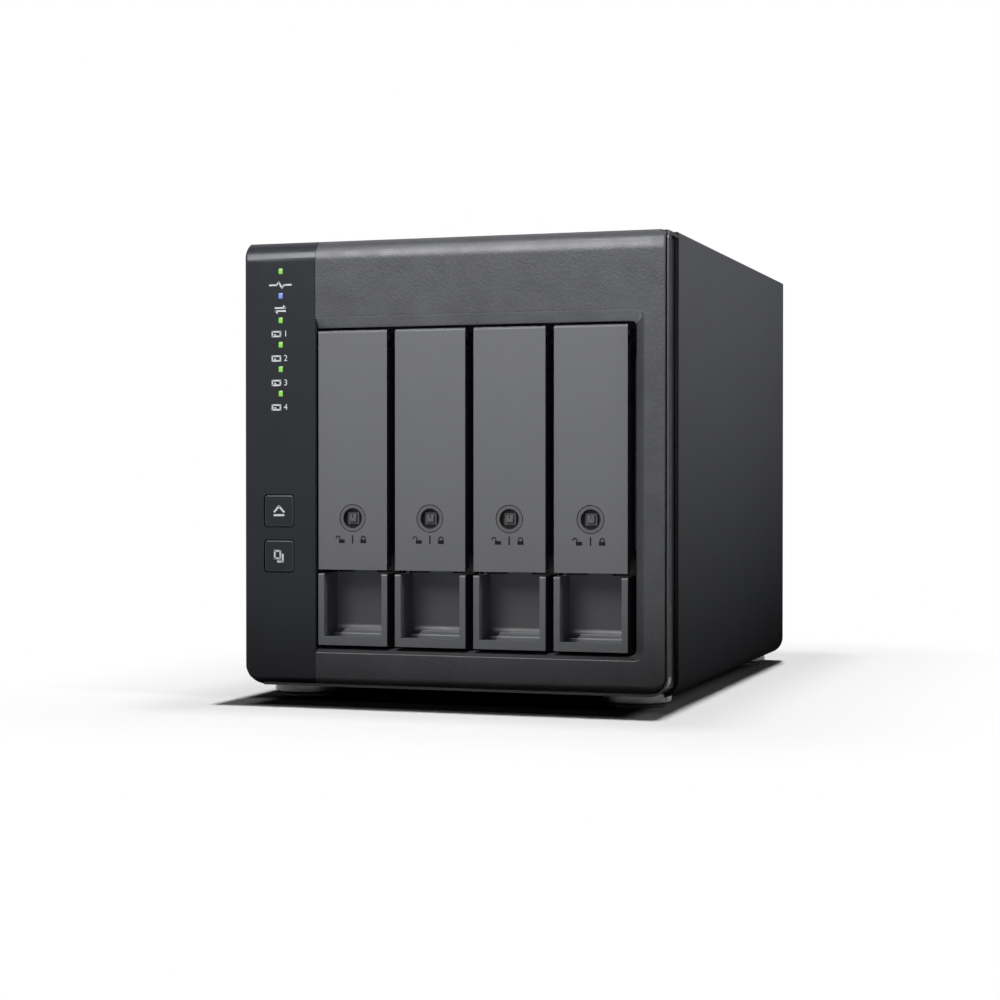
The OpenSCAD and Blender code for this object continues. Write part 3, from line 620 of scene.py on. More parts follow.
@dataclass
class HemmedSkin(Skin):
    """Skin of a sheet whose front edge is folded back on itself."""

    wall: float = 0.36 * MM
    deep: float = 0.9 * MM

    def refine(self, thing: bpy.types.Object) -> None:
        """Sinks the gap of the fold into the front edge.

        Args:
            thing: Copy of the sheet.
        """
        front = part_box(self.node)[0].y + 0.05 * MM
        with Bench.edit(thing) as edited:
            bpy.ops.mesh.select_mode(type="FACE")
            forward = (f for f in edited.faces if f.normal.y < -0.99)
            Bench.select(edited, (f for f in forward if f.calc_center_median().y < front))
            bpy.ops.mesh.inset(thickness=self.wall, use_even_offset=True)
            bpy.ops.mesh.extrude_region_move(TRANSFORM_OT_translate={"value": (0, self.deep, 0)})


@dataclass
class ScoopSkin(Skin):
    """Skin of a tray whose front wall is cut in line with the sides of its finger scoop."""

    middle: float = 0.0
    half: float = 11.25 * MM
    deep: float = 0.0
    step: tuple[float, float] = (24.5 * MM, 30 * MM)
    sink: float = 2.0 * MM

    def on_step(self, p: Vector) -> bool:
        """Whether a point is on the upper edges of the step."""
        inside = abs(p.x - self.middle) < self.half + 0.05 * MM
        return inside and -3.6 * MM < p.y - self.deep < 0.05 * MM and self.step[0] < p.z < self.step[1]

    def refine(self, thing: bpy.types.Object) -> None:
        """Sinks the hollowed step of the scoop and cuts the faces that look forward behind it.

        Args:
            thing: Copy of the tray.
        """
        with Bench.edit(thing) as edited:
            Bench.select(edited, (v for v in edited.verts if self.on_step(v.co)))
            bpy.ops.transform.translate(value=(0, 0, -self.sink))
        for side in (-1, 1):
            with Bench.edit(thing) as edited:
                bpy.ops.mesh.select_mode(type="FACE")
                forward = (f for f in edited.faces if f.normal.y < -0.9)
                Bench.select(edited, (f for f in forward if abs(f.calc_center_median().y - self.deep) < MM))
                edge = (self.middle + side * self.half, 0, 0)
                bpy.ops.mesh.bisect(plane_co=edge, plane_no=(1, 0, 0), threshold=0.001 * MM)


@dataclass
class Print:
    """A printed sign on an upright face: flat strokes a hair above the surface."""

    name: str
    centre: Vector
    facing: float = -1.0
    thick: float = 0.04 * MM
    parts: list[bpy.types.Object] = field(default_factory=list)

    def spot(self, x: float, z: float) -> Vector:
        """Point of the sign, given to the right of and above its middle as its reader sees it."""
        return self.centre + Vector((-self.facing * x, 0, z))

    def keep(self) -> None:
        """Takes the object just made into the sign."""
        self.parts.append(Bench.settle(bpy.context.active_object))

    def stroke(self, x0: float, z0: float, x1: float, z1: float, width: float) -> None:
        """Straight stroke between two points.

        Args:
            x0: Start, to the right.
            z0: Start, upwards.
            x1: End, to the right.
            z1: End, upwards.
            width: Width of the line.
        """
        start, end = self.spot(x0, z0), self.spot(x1, z1)
        along = end - start
        bpy.ops.mesh.primitive_plane_add(
            size=1,
            location=(start + end) / 2,
            rotation=(math.radians(90), -math.atan2(along.z, along.x), 0),
        )
        bpy.context.active_object.scale = (along.length + width * 0.6, width, 1)
        self.keep()

    def frame(self, x: float, z: float, w: float, h: float, width: float) -> None:
        """Outline of a rectangle.

        Args:
            x: Middle, to the right.
            z: Middle, upwards.
            w: Length across.
            h: Length upwards.
            width: Width of the line.
        """
        for side in (-1, 1):
            self.stroke(x - w / 2, z + side * h / 2, x + w / 2, z + side * h / 2, width)
            self.stroke(x + side * w / 2, z - h / 2, x + side * w / 2, z + h / 2, width)

    def arc(
        self, x: float, z: float, radius: float, width: float, start: float = 0, end: float = 360
    ) -> None:
        """Part of a ring, by short strokes.

        Args:
            x: Middle of the ring, to the right.
            z: Middle of the ring, upwards.
            radius: Radius of the middle line.
            width: Width of the line.
            start: First angle in degrees, from the right and upwards.
            end: Last angle in degrees.
        """
        steps = max(4, round((end - start) / 20))
        turn = [math.radians(start + (end - start) * i / steps) for i in range(steps + 1)]
        points = [(x + radius * math.cos(a), z + radius * math.sin(a)) for a in turn]
        for (x0, z0), (x1, z1) in zip(points, points[1:]):
            self.stroke(x0, z0, x1, z1, width)

    def digit(self, number: int, x: float, z: float, height: float) -> None:
        """Plain number.

        Args:
            number: Number to print.
            x: Middle, to the right.
            z: Middle, upwards.
            height: Height of the figure.
        """
        bpy.ops.object.text_add(location=self.spot(x, z), rotation=(math.radians(90), 0, 0))
        text = bpy.context.active_object
        text.data.body = str(number)
        text.data.size = height * 1.38
        text.data.align_x = "CENTER"
        text.data.align_y = "CENTER"
        bpy.ops.object.convert(target="MESH")
        self.keep()

    def build(self, body: str, finish: Finish) -> bpy.types.Object:
        """Joins the strokes, gives them their thickness and prints them on a body.

        Args:
            body: Body that carries the sign.
            finish: Finish of the print.

        Returns:
            The printed sign.
        """
        thing = Bench.join(self.parts)
        with Bench.edit(thing):
            bpy.ops.mesh.select_all(action="SELECT")
            bpy.ops.mesh.remove_doubles(threshold=0.0005 * MM)
            out = (0, self.facing * self.thick, 0)
            bpy.ops.mesh.extrude_region_move(TRANSFORM_OT_translate={"value": out})
            bpy.ops.mesh.select_all(action="SELECT")
            bpy.ops.mesh.normals_make_consistent(inside=False)
        return Bench.mount(thing, self.name, body, finish)


@dataclass
class CrossScrew:
    """Pan head screw with a cross recess, its axis along Y or X."""

    head: float
    tall: float
    recess: float = 0.62

    def model(self, along: Vector) -> bpy.types.Object:
        """One screw head at the origin, looking along an axis.

        Args:
            along: Outward direction of the head.

        Returns:
            The head as a mesh object.
        """
        turn = Vector((0, 0, 1)).rotation_difference(along).to_euler()
        bpy.ops.mesh.primitive_cylinder_add(vertices=32, radius=self.head, depth=self.tall)
        thing = bpy.context.active_object
        with Bench.edit(thing) as mesh:
            Bench.select(mesh, (e for e in mesh.edges if all(v.co.z > 0 for v in e.verts)))
            bpy.ops.mesh.bevel(offset=self.tall * 0.45, segments=4, affect="EDGES")
        arm = self.head * self.recess
        for quarter in (0, 90):
            turned = (0, 0, math.radians(quarter))
            bpy.ops.mesh.primitive_cube_add(size=1, location=(0, 0, self.tall / 2), rotation=turned)
            cutter = bpy.context.active_object
            cutter.scale = (2 * arm, arm * 0.36, self.tall)
            Bench.settle(cutter)
            with Bench.edit(cutter) as mesh:
                for corner in mesh.verts:
                    corner.select_set(corner.co.z < self.tall / 4)
                bpy.ops.transform.resize(value=(0.6, 0.6, 1), center_override=(0, 0, 0))
            Bench.modify(thing, "BOOLEAN", operation="DIFFERENCE", object=cutter, solver="EXACT")
            bpy.data.objects.remove(cutter)
        thing.rotation_euler = turn
        Bench.settle(thing)
        Bench.smooth(thing, 32)
        return thing

    def row(
        self, name: str, spots: list[Vector], along: Vector, body: str, node: str = ""
    ) -> bpy.types.Object:
        """Screws at several places as one piece.

        Args:
            name: Name of the piece.
            spots: Middles of the undersides of the heads.
            along: Outward direction of the heads.
            body: Body that carries them.
            node: Node that they stand for, if any.

        Returns:
            The piece.
        """
        first = self.model(along)
        lift = along * self.tall / 2
        things = [Bench.copy_to(first, spot + lift) for spot in spots]
        bpy.data.objects.remove(first)
        thing = Bench.mount(Bench.join(things), name, body, SCREW, "screw_steel")
        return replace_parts(thing, node) if node else thing


@dataclass
class FrontBezel:
    """Grained bezel in the shoulder of the dark front frame."""

    edge: float = 0.25 * MM
    lip: float = 0.45 * MM
    recess: tuple[float, float, float] = (71.6 * MM, 17.6 * MM, 140.1 * MM)
    rim_end: float = 5.0 * MM
    sill_deep: float = 0.8 * MM

    def build(self) -> None:
        """Makes the bezel and the frame."""
        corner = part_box("front_bezel")[0]
        face, left = corner.y, corner.x + 0.2 * MM
        right, bottom, top = self.recess

        def on_recess(p: Vector) -> bool:
            """Whether a point is on the front edge of the recess round the levers."""
            return p.y < face + 0.1 * MM and left < p.x < right and bottom < p.z < top

        def on_slope(p: Vector, n: Vector) -> bool:
            """Whether a face is on the slope over the levers, which looks down and is lightened with painted
            light.
            """
            return n.z < -0.25 and n.y < -0.25 and p.y > face and p.z > top - 8 * MM

        def on_sill(p: Vector, n: Vector) -> bool:
            """Whether a face is on the lower edge of the recess, which looks up and is darkened with painted
            shade.
            """
            return n.z > 0.2 and n.y < -0.1 and p.y < face + self.sill_deep and p.z < bottom + 2 * MM

        lip = Break(self.lip, 3, 30, on_recess, 0.0)
        # Painted light on the slope over the levers, painted shade on the lower edge of the recess.
        slope, sill = Accent(PAINTED_LIGHT_SLOPE, on_slope), Accent(PAINTED_SHADE, on_sill)
        Skin("front_bezel", BEZEL, (lip, Break(self.edge, 2, 42)), 36, (slope, sill)).build()
        rim = Break(0.22 * MM, 3, 40, lambda p: p.y < face + self.rim_end + 0.1 * MM)
        rest = Break(0.3 * MM, 2, 40, lambda p: abs(p.x) > 76 * MM)
        # The frame's front rim gets the lighter tone: a painted highlight on the dark frame.
        bright = Accent(RIM_HIGHLIGHT, lambda p, n: p.y < face + self.rim_end - 0.05 * MM)
        Skin("front_frame", NECK, (rim, rest), 25, (bright,)).build()


@dataclass
class IndicatorStrip:
    """Dark strip with the lights, their signs and two buttons."""

    label_drop: float = 5.05 * MM
    light_half: float = 1.8 * MM
    letter: float = 2.3 * MM
    line: float = 0.6 * MM
    sign: float = 1.9 * MM
    sign_line: float = 0.72 * MM

    def build(self) -> None:
        """Makes the strip, the lights and everything printed on it."""
        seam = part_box("indicator_panel")[1].x - 0.1 * MM
        end = Break(0.5 * MM, 3, 60, lambda p: p.x > seam)
        Skin("indicator_panel", STRIP, (end, Break(0.2 * MM, 2, 42)), smooth=36).build()
        Skin("green_light_pipes", GREEN, (Break(0.25 * MM),)).build()
        Skin("blue_light_pipe", BLUE, (Break(0.25 * MM),)).build()
        self.labels()
        self.button("eject_button", self.eject_sign)
        self.button("copy_button", self.copy_sign)

    def labels(self) -> None:
        """Signs under the lights: pulse, link and a disk with its number."""
        low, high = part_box("green_light_pipes")
        x = (low.x + high.x) / 2
        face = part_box("indicator_panel")[0].y
        top, bottom = high.z - self.light_half, low.z + self.light_half
        pitch = (top - bottom) / 5
        pulse = Print("status_sign", Vector((x, face, top - self.label_drop)))
        points = [(-4.3, 0), (-1.5, 0), (-0.6, 1.1), (0.6, -1.1), (1.5, 0), (4.3, 0)]
        for (x0, z0), (x1, z1) in zip(points, points[1:]):
            pulse.stroke(x0 * MM, z0 * MM, x1 * MM, z1 * MM, self.line)
        pulse.build(ROOT, PALE_PRINT)
        link = Print("link_sign", Vector((x, face, top - pitch - self.label_drop)))
        for side in (-1, 1):
            z = side * 0.55 * MM
            link.stroke(-2 * MM, z, 2 * MM, z, self.line)
            link.stroke(side * 2 * MM, z, side * 1.2 * MM, z + side * 0.7 * MM, self.line)
        link.build(ROOT, PALE_PRINT)
        for number in BAYS:
            z = top - pitch * (number + 1) - self.label_drop
            disk = Print(f"disk_sign_{number}", Vector((x, face, z)))
            disk.frame(-1.6 * MM, 0, 3.2 * MM, 1.7 * MM, self.line)
            disk.stroke(-2.3 * MM, -0.2 * MM, -1.9 * MM, -0.2 * MM, self.line * 0.8)
            disk.digit(number, 2.1 * MM, 0, self.letter)
            disk.build(ROOT, PALE_PRINT)

    def button(self, node: str, draw: Callable[[Print], None]) -> None:
        """Cap of a button with its sign.

        Args:
            node: Node of the button.
            draw: Draws the sign.
        """
        low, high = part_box(node)
        front = low.y + 0.05 * MM
        # Painted highlight: the bevelled edges of the cap are lighter.
        edge = Accent(CAP_HIGHLIGHT, lambda p, n: -0.97 < n.y < -0.1 and p.y < low.y + MM)
        Skin(node, STRIP, (Break(0.6 * MM, 3, 40, lambda p: p.y < front, 0.0),), 30, (edge,)).build()
        sign = Print(node + "_sign", Vector(((low.x + high.x) / 2, low.y, (low.z + high.z) / 2)))
        draw(sign)
        sign.build(body_of(node), PALE_PRINT)

    def eject_sign(self, sign: Print) -> None:
        """Arrow head over a bar.

        Args:
            sign: Sign to draw on.
        """
        w, line = self.sign, self.sign_line
        sign.stroke(-w, -0.4 * MM, 0, 1.7 * MM, line)
        sign.stroke(0, 1.7 * MM, w, -0.4 * MM, line)
        sign.stroke(-w, -1.6 * MM, w, -1.6 * MM, line)

    def copy_sign(self, sign: Print) -> None:
        """Sheet in front of a second sheet.

        Args:
            sign: Sign to draw on.
        """
        line = self.sign_line
        sign.frame(-0.6 * MM, 0.5 * MM, 2.2 * MM, 2.7 * MM, line)
        sign.stroke(1.5 * MM, 0.6 * MM, 1.5 * MM, -2.0 * MM, line)
        sign.stroke(1.5 * MM, -2.0 * MM, -0.6 * MM, -2.0 * MM, line)


@dataclass
class DriveBay:
    """Tray with its drive, hinged lever and cam lock."""

    number: int
    mark_drop: float = 7.7 * MM
    mark_side: float = 4.2 * MM
    line: float = 0.36 * MM
    rim: float = 0.7 * MM
    wall_top: float = 46.6 * MM
    half: float = 13.3 * MM
    deep: float = 14.5 * MM
    back: float = 12.7 * MM
    inner: float = 11.25 * MM
    socket: float = 3.72 * MM
    lid_drop: float = 1.2 * MM
    lid_screw_in: float = 7 * MM

    def build(self) -> None:
        """Makes the pieces of one bay."""
        k = self.number
        low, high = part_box(f"lever_{k}")
        x, face, front = (low.x + high.x) / 2, low.y, low.y + 4 * MM
        caps = Break(self.rim, 4, 60, lambda p: p.y < front and abs(p.z - self.wall_top) < 0.1 * MM)
        edges = Break(0.35 * MM, 3, 40, lambda p: p.y < front)

        def behind(p: Vector, n: Vector) -> bool:
            """Whether a face of the tray is outside its finger scoop; those faces are black, partly as black
            plastic and partly as painted shade in the gaps.

            Args:
                p: Middle of the face.
                n: Normal of the face.

            Returns:
                Whether it is outside.
            """
            if n.y < -0.5 and p.y < face + self.deep:
                beside = p.y > face + 10 * MM and abs(p.x - x) > self.inner
                return beside or p.z > self.wall_top + 12 * MM
            return p.z > self.wall_top + 0.1 * MM or abs(p.x - x) > self.half or p.y > face + self.deep

        # Black outside the scoop: partly black plastic, partly painted shade in the dark gaps.
        dark = (Accent(BLACK, behind),)
        wall = face + self.back
        ScoopSkin(f"tray_{k}", TRAY, (caps, edges), 30, dark, middle=x, half=self.inner, deep=wall).build()
        # Lever faces behind its front plate are black: partly black plastic, partly painted shade in the
        # gaps.
        back = Accent(BLACK, lambda p, n: p.y > face + 0.5 * MM and n.z < 0.5)
        Skin(f"lever_{k}", LEVER, (edges,), accents=(back,)).build()
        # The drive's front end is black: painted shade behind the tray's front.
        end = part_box(f"drive_{k}")[0].y + MM
        Skin(f"drive_{k}", CASTING, (Break(0.5 * MM),), 35, (Accent(BLACK, lambda p, n: p.y < end),)).build()
        self.lock()
        dress(SCREW, f"drive_screws_{k}", f"hinge_pin_{k}")
        self.marks()
        self.lid_screws()

    def lock(self) -> None:
        """Lock core with a stepped square boss; its lower step and its key socket are darkened with painted
        shade.
        """
        node = f"lock_core_{self.number}"
        low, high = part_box(node)
        hub = Vector(((low.x + high.x) / 2, low.y, (low.z + high.z) / 2))

        def spot(p: Vector) -> tuple[float, float]:
            """Distance of a point from the axis of the lock and behind its face."""
            return math.hypot(p.x - hub.x, p.z - hub.z), p.y - hub.y

        def on_step(p: Vector, n: Vector) -> bool:
            """Whether a face is on the lower step of the boss, which gets painted shade."""
            reach, deep = spot(p)
            return reach < 3.1 * MM and 0.75 * MM < deep < 1.5 * MM

        def in_socket(p: Vector, n: Vector) -> bool:
            """Whether a face is on the wall or the floor of the key socket, which is darkened with painted
            shade.

            Args:
                p: Middle of the face.
                n: Normal of the face.

            Returns:
                Whether it is in the socket.
            """
            reach, deep = spot(p)
            start = 0.25 * MM if reach > 3.2 * MM else 1.5 * MM
            return reach < self.socket and start < deep < 2.1 * MM

        crown = Break(0.35 * MM, 3, 40, lambda p: spot(p)[0] < 2.2 * MM and spot(p)[1] < 0.6 * MM)
        # Painted shade on the lower step and in the key socket.
        tones = (Accent(LOCK_STEP_SHADE, on_step), Accent(PAINTED_SHADE, in_socket))
        Skin(node, LOCK, (crown, Break(0.15 * MM, 2, 40)), 35, tones).build()

    def marks(self) -> None:
        """Open lock, pointer line and closed lock under the lock core."""
        k = self.number
        lock = middle(f"lock_core_{k}")
        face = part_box(f"lever_{k}")[0].y
        sign = Print(f"lock_sign_{k}", Vector((lock.x, face, lock.z - self.mark_drop)))
        sign.stroke(0, -1.4 * MM, 0, 1.4 * MM, 0.5 * MM)
        for side in (-1, 1):
            x = side * self.mark_side
            sign.stroke(x - 0.75 * MM, -0.75 * MM, x + 0.75 * MM, -0.75 * MM, 1.3 * MM)
            shackle = x if side > 0 else x - 1.5 * MM
            sign.arc(shackle, 0.35 * MM, 0.75 * MM, self.line, 0, 180)
            for leg in (-1, 1) if side > 0 else (1,):
                at = shackle + leg * 0.75 * MM
                sign.stroke(at, 0.35 * MM, at, -0.3 * MM, self.line)
        sign.build(f"lever_{k}", DARK_PRINT)

    def lid_screws(self) -> None:
        """Small screws round the lid of the drive."""
        k = self.number
        low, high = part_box(f"drive_{k}")
        x = high.x - self.lid_drop
        ys = (low.y + 6 * MM, high.y - 28 * MM)
        zs = (low.z + self.lid_screw_in, high.z - self.lid_screw_in)
        spots = [Vector((x, y, z)) for y in ys for z in zs]
        CrossScrew(2.1 * MM, 0.9 * MM).row(f"lid_screws_{k}", spots, Vector((1, 0, 0)), f"tray_{k}")


@dataclass
class Casing:
    """Wrapped cover, base plate and feet."""

    def build(self) -> None:
        """Makes the casing."""
        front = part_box("outer_cover")[0].y
        # The folded front edge of the cover gets the rim tone: a painted highlight along the edge.
        hem = Accent(RIM_HIGHLIGHT, lambda p, n: p.y < front + 0.6 * MM and n.x > -0.5 and -0.99 < n.y < -0.05)
        HemmedSkin("outer_cover", COVER, (Break(0.35 * MM, 3, 50),), 35, (hem,)).build()
        Skin("base_plate", CHASSIS, (Break(0.3 * MM, 2, 50),)).build()
        Skin("rubber_feet", RUBBER, (Break(0.3 * MM, 2, 50),), smooth=40).build()


@dataclass
class RearSide:
    """Rear panel with the fan, its grille and the column of sockets."""

    def build(self) -> None:
        """Makes the rear side."""
        Skin("rear_panel", CHASSIS, (Break(0.2 * MM, 2, 50),)).build()
        Skin("fan_grille", CHASSIS, ()).build()
        Skin("fan_rotor", BLACK, (), smooth=35).build()
        Skin("power_button", BLACK, (Break(0.4 * MM, 3, 50),)).build()
        Skin("power_inlet", BLACK, (Break(0.25 * MM, 2, 50),)).build()
        Skin("data_socket", PLATED, ()).build()
        dress(BLACK, "fan_frame", "fan_bracket")
        dress(COPPER, "fan_stator")
        dress(RED, "mode_switch")
        dress(WHITE, "mode_slider_1", "mode_slider_2", "mode_slider_3")
        self.screws()
        self.power_sign()

    def screws(self) -> None:
        """Screws of the fan and of the cover tabs."""
        back = Vector((0, 1, 0))
        for node, head, tall in (("fan_screws", 4 * MM, 1.8 * MM), ("cover_screws", 2.8 * MM, 1.6 * MM)):
            low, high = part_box(node)
            xs, zs = (low.x + head, high.x - head), (low.z + head, high.z - head)
            spots = [Vector((x, high.y - tall, z)) for x in xs for z in zs]
            CrossScrew(head, tall).row(node + "_heads", spots, back, ROOT, node)

    def power_sign(self) -> None:
        """Broken ring with a bar on the power button."""
        low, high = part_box("power_button")
        sign = Print("power_sign", Vector(((low.x + high.x) / 2, high.y, (low.z + high.z) / 2)), facing=1.0)
        sign.arc(0, -0.2 * MM, 1.6 * MM, 0.4 * MM, 125, 415)
        sign.stroke(0, 0.2 * MM, 0, 1.9 * MM, 0.4 * MM)
        sign.build("power_button", PALE_PRINT)


@dataclass
class Inside:
    """Cage, guides and boards behind the trays."""

    def build(self) -> None:
        """Dresses the inner pieces."""
        dress(CAGE, "drive_cage")
        dress(BLACK, "lower_guide", "upper_guide", "drive_connectors")
        dress(BOARD, "backplane_board", "main_board", "front_board")
        dress(SINK, "heat_sink")
        dress(SCREW, "chassis_screws")


@dataclass(frozen=True)
class Lamp:
    """A lamp that looks from its place at a point, with its power in watts."""

    name: str
    place: Tone
    at: Tone
    power: float

    def hang(self, kind: str, **settings: object) -> bpy.types.Object:
        """Makes the lamp and aims it.

        Args:
            kind: Blender's type of the light.
            settings: Properties of the light.

        Returns:
            The lamp.
        """
        data = bpy.data.lights.new(self.name, kind)
        data.energy = self.power
        for key, value in settings.items():
            setattr(data, key, value)
        lamp = bpy.data.objects.new(self.name, data)
        lamp.location = self.place
        way = Vector(self.at) - Vector(self.place)
        lamp.rotation_euler = way.to_track_quat("-Z", "Y").to_euler()
        bpy.context.scene.collection.objects.link(lamp)
        return lamp

    @staticmethod
    def spare(lamp: bpy.types.Object, *things: bpy.types.Object) -> None:
        """Keeps a lamp's light off some objects.

        Args:
            lamp: Lamp to limit.
            things: Objects that it leaves out.
        """
        spared = bpy.data.collections.new(lamp.name + "_spares")
        for thing in things:
            spared.objects.link(thing)
        for entry in spared.collection_objects:
            entry.light_linking.link_state = "EXCLUDE"
        lamp.light_linking.receiver_collection = spared


@dataclass(frozen=True)
class SpotLamp(Lamp):
    """Spot lamp: full angle of its cone in degrees, share that fades out, and radius of the lamp."""

    cone: float
    soft: float
    radius: float

    def build(self) -> bpy.types.Object:
        """Makes the lamp."""
        cone = math.radians(self.cone)
        return self.hang("SPOT", shadow_soft_size=self.radius, spot_size=cone, spot_blend=self.soft)


@dataclass(frozen=True)
class PanelLamp(Lamp):
    """Flat square lamp with the length of its side."""

    side: float

    def build(self) -> bpy.types.Object:
        """Makes the lamp."""
        return self.hang("AREA", shape="RECTANGLE", size=self.side, size_y=self.side)


def away_from(point: Tone, turn: float, rise: float) -> Tone:
    """Place one metre away from a point.

    Args:
        point: Point to start from.
        turn: Angle from straight in front towards the right, in degrees.
        rise: Angle upwards, in degrees.

    Returns:
        The place.
    """
    across, up = math.radians(turn), math.radians(rise)
    x, y, z = point
    return x + math.sin(across) * math.cos(up), y - math.cos(across) * math.cos(up), z + math.sin(up)


TOP_EDGE = (0, -0.105, 0.165)
TOP = SpotLamp("top", (0, 0.74, 6), (0, 0, 0), 1340, cone=40, soft=0.5, radius=0.1)
KEY = SpotLamp("key", (-0.44, -1.32, 2.332), (-0.115, -0.11, 0.8), 222, cone=21.48, soft=0.06, radius=0.006)
GLINT = PanelLamp("glint", away_from(TOP_EDGE, -19, 32), TOP_EDGE, 31, side=0.5)
SIDE = SpotLamp("side", (1.25, -0.25, 0.46), (0.08, -0.08, 0.46), 58, cone=40.7, soft=0.4, radius=0.1)


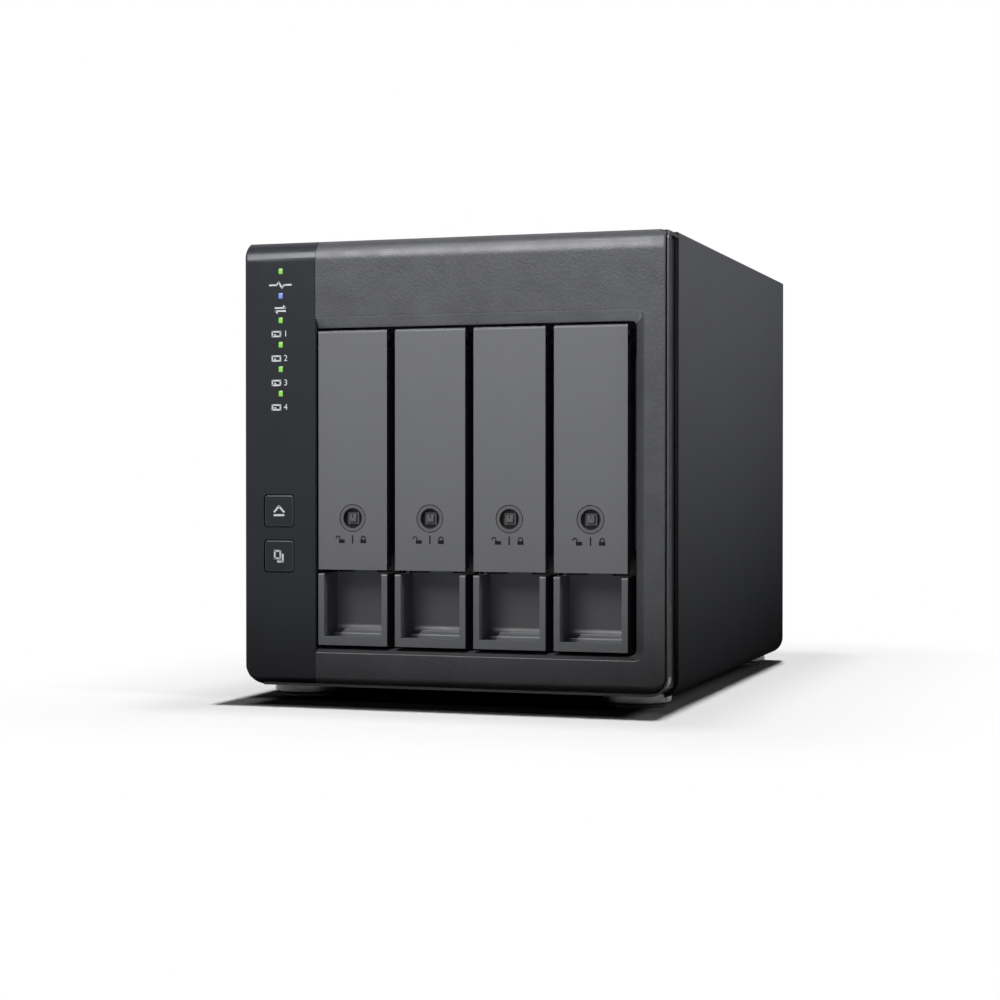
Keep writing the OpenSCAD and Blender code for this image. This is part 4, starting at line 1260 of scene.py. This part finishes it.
@dataclass
class Studio:
    """White floor and surroundings, lamps and the camera."""

    eye: Vector = field(default_factory=lambda: Vector((0.24675, -0.80578, 0.08157)))
    yaw: float = 18.113
    pitch: float = 0.626
    lens: float = 74.474
    floor_reach: float = 6.0
    floor_tone: Tone = (0.95, 0.95, 0.95)
    shadow_mat: Tone = (0.085, 0.135, 0.0)
    # Painted shade: the floor greys towards the object.
    near_tone: Tone = (0.78, 0.78, 0.78)
    near_reach: tuple[float, float] = (0.0, 0.04)
    # Painted shadow: black under the object and just before its front.
    contact_mat: Tone = (0.066, 0.103, 0.0)
    contact_at: Tone = (0.0, -0.02, 0.0)
    contact_reach: tuple[float, float] = (0.0, 0.01)
    white_reach: tuple[float, float] = (0.004, 0.11)
    dark_mat: Tone = (0.2, 0.122, 0.0)
    bounce_reach: tuple[float, float] = (0.02, 0.13)
    bounce: float = 1.1
    # Black of the painted shadow; the floor near the object is this dark for bounced light too.
    dark_tone: Tone = (0.02, 0.02, 0.02)
    fill_tone: Tone = (0.95, 0.97, 1.0)
    fill: float = 0.005
    front: tuple[str, ...] = ("front_bezel", "indicator_panel", "front_frame")

    def build(self) -> None:
        """Sets the whole stage."""
        self.camera()
        self.world()
        self.lamps(self.floor())
        bpy.context.scene.view_settings.view_transform = "Standard"

    def camera(self) -> None:
        """Camera at the photograph's place."""
        data = bpy.data.cameras.new("camera")
        data.sensor_width = 36
        data.lens = self.lens
        data.clip_start, data.clip_end = 0.01, 50
        eye = bpy.data.objects.new("camera", data)
        eye.location = self.eye
        eye.rotation_euler = (math.radians(90 - self.pitch), 0, math.radians(self.yaw))
        bpy.context.scene.collection.objects.link(eye)
        bpy.context.scene.camera = eye

    @staticmethod
    def seen(tree: bpy.types.NodeTree) -> bpy.types.NodeSocket:
        """Whether a ray comes from the camera, a reflection or a transmission.

        Args:
            tree: Node tree to work on.

        Returns:
            The share, 0 or 1.
        """
        path = tree.nodes.new("ShaderNodeLightPath")
        total = path.outputs["Is Camera Ray"]
        for name in ("Is Glossy Ray", "Is Transmission Ray"):
            either = tree.nodes.new("ShaderNodeMath")
            either.operation = "MAXIMUM"
            tree.links.new(total, either.inputs[0])
            tree.links.new(path.outputs[name], either.inputs[1])
            total = either.outputs[0]
        return total

    def world(self) -> None:
        """White surroundings that light the object only softly."""
        world = bpy.data.worlds.new("studio")
        world.use_nodes = True
        tree = world.node_tree
        tree.nodes.clear()
        fill, white = (tree.nodes.new("ShaderNodeBackground") for _ in range(2))
        fill.inputs["Color"].default_value = (*self.fill_tone, 1)
        fill.inputs["Strength"].default_value = self.fill
        white.inputs["Color"].default_value = (1, 1, 1, 1)
        mix = tree.nodes.new("ShaderNodeMixShader")
        tree.links.new(self.seen(tree), mix.inputs[0])
        tree.links.new(fill.outputs[0], mix.inputs[1])
        tree.links.new(white.outputs[0], mix.inputs[2])
        out = tree.nodes.new("ShaderNodeOutputWorld")
        tree.links.new(mix.outputs[0], out.inputs[0])
        bpy.context.scene.world = world

    def floor(self) -> bpy.types.Object:
        """Makes the floor.

        It is pale, greyer round the object with painted shade, and black under it and just before its front
        with a painted shadow. It keeps the cast shadow too and turns white farther out. Towards light that
        bounces off it, it is dark near the object and shines farther out.

        Returns:
            The floor.
        """
        bpy.ops.object.select_all(action="DESELECT")
        bpy.ops.mesh.primitive_plane_add(size=2 * self.floor_reach)
        plane = bpy.context.active_object
        plane.name = "floor"
        g = Graph("floor_paper")
        paper = g.node("BsdfDiffuse", {"Color": (*self.floor_tone, 1)})
        # close carries the painted shade round the object, dark the painted shadow under it.
        close = g.node("BsdfDiffuse", {"Color": (*self.near_tone, 1)})
        dark = g.node("BsdfDiffuse", {"Color": (*self.dark_tone, 1)})
        ground = self.fade(g, self.shadow_mat, self.near_reach, close, paper)
        ground = self.fade(g, self.contact_mat, self.contact_reach, dark, ground, self.contact_at)
        white = g.node("Emission", {"Color": (1, 1, 1, 1), "Strength": 1.0})
        shown = self.fade(g, self.shadow_mat, self.white_reach, ground, white)
        bounce = g.node("Emission", {"Color": (1, 1, 1, 1), "Strength": self.bounce})
        quiet = self.fade(g, self.dark_mat, self.bounce_reach, dark, bounce)
        top = g.node("MixShader", {"Fac": self.seen(g.tree)})
        g.tree.links.new(quiet.outputs[0], top.inputs[1])
        g.tree.links.new(shown.outputs[0], top.inputs[2])
        plane.data.materials.append(g.close(top))
        return plane

    @staticmethod
    def fade(
        g: Graph,
        mat: Tone,
        reach: tuple[float, float],
        near: bpy.types.Node,
        far: bpy.types.Node,
        at: Tone = (0.0, 0.0, 0.0),
    ) -> bpy.types.Node:
        """Mixes two shaders by the distance from a rectangle round the object.

        Args:
            g: Graph of the floor.
            mat: Half sizes of the rectangle.
            reach: Distances at which the mix starts and ends.
            near: Shader on the rectangle.
            far: Shader far from it.
            at: Middle of the rectangle.

        Returns:
            The mixing node.
        """
        place = g.vector("SUBTRACT", g.node("TexCoord").outputs["Object"], at)
        beyond = g.vector("SUBTRACT", g.vector("ABSOLUTE", place.outputs[0]).outputs[0], mat)
        away = g.vector("LENGTH", g.vector("MAXIMUM", beyond.outputs[0]).outputs[0]).outputs["Value"]
        ends = {"Value": away, "From Min": reach[0], "From Max": reach[1]}
        share = g.node("MapRange", ends, interpolation_type="SMOOTHSTEP")
        mix = g.node("MixShader", {"Fac": share.outputs[0]})
        g.tree.links.new(near.outputs[0], mix.inputs[1])
        g.tree.links.new(far.outputs[0], mix.inputs[2])
        return mix

    def lamps(self, floor: bpy.types.Object) -> None:
        """Sets up the lamps: overhead for the shadow, then front, top edge and right side.

        Args:
            floor: Floor, which the front lamp leaves out.
        """
        top = TOP.build()
        top.visible_glossy = False
        Lamp.spare(top, *(bpy.data.objects[name + "_skin"] for name in self.front))
        Lamp.spare(KEY.build(), floor)
        GLINT.build().visible_diffuse = False
        SIDE.build()


def main() -> None:
    """Builds the enclosure, sub-assembly by sub-assembly, and its stage."""
    logging.basicConfig(level=logging.INFO, format="%(message)s")
    bpy.ops.object.select_all(action="DESELECT")
    for group in (Casing(), FrontBezel(), IndicatorStrip(), *map(DriveBay, BAYS), RearSide(), Inside()):
        LOG.info("building %s", type(group).__name__)
        group.build()
    Studio().build()


if __name__ == "__main__":
    main()
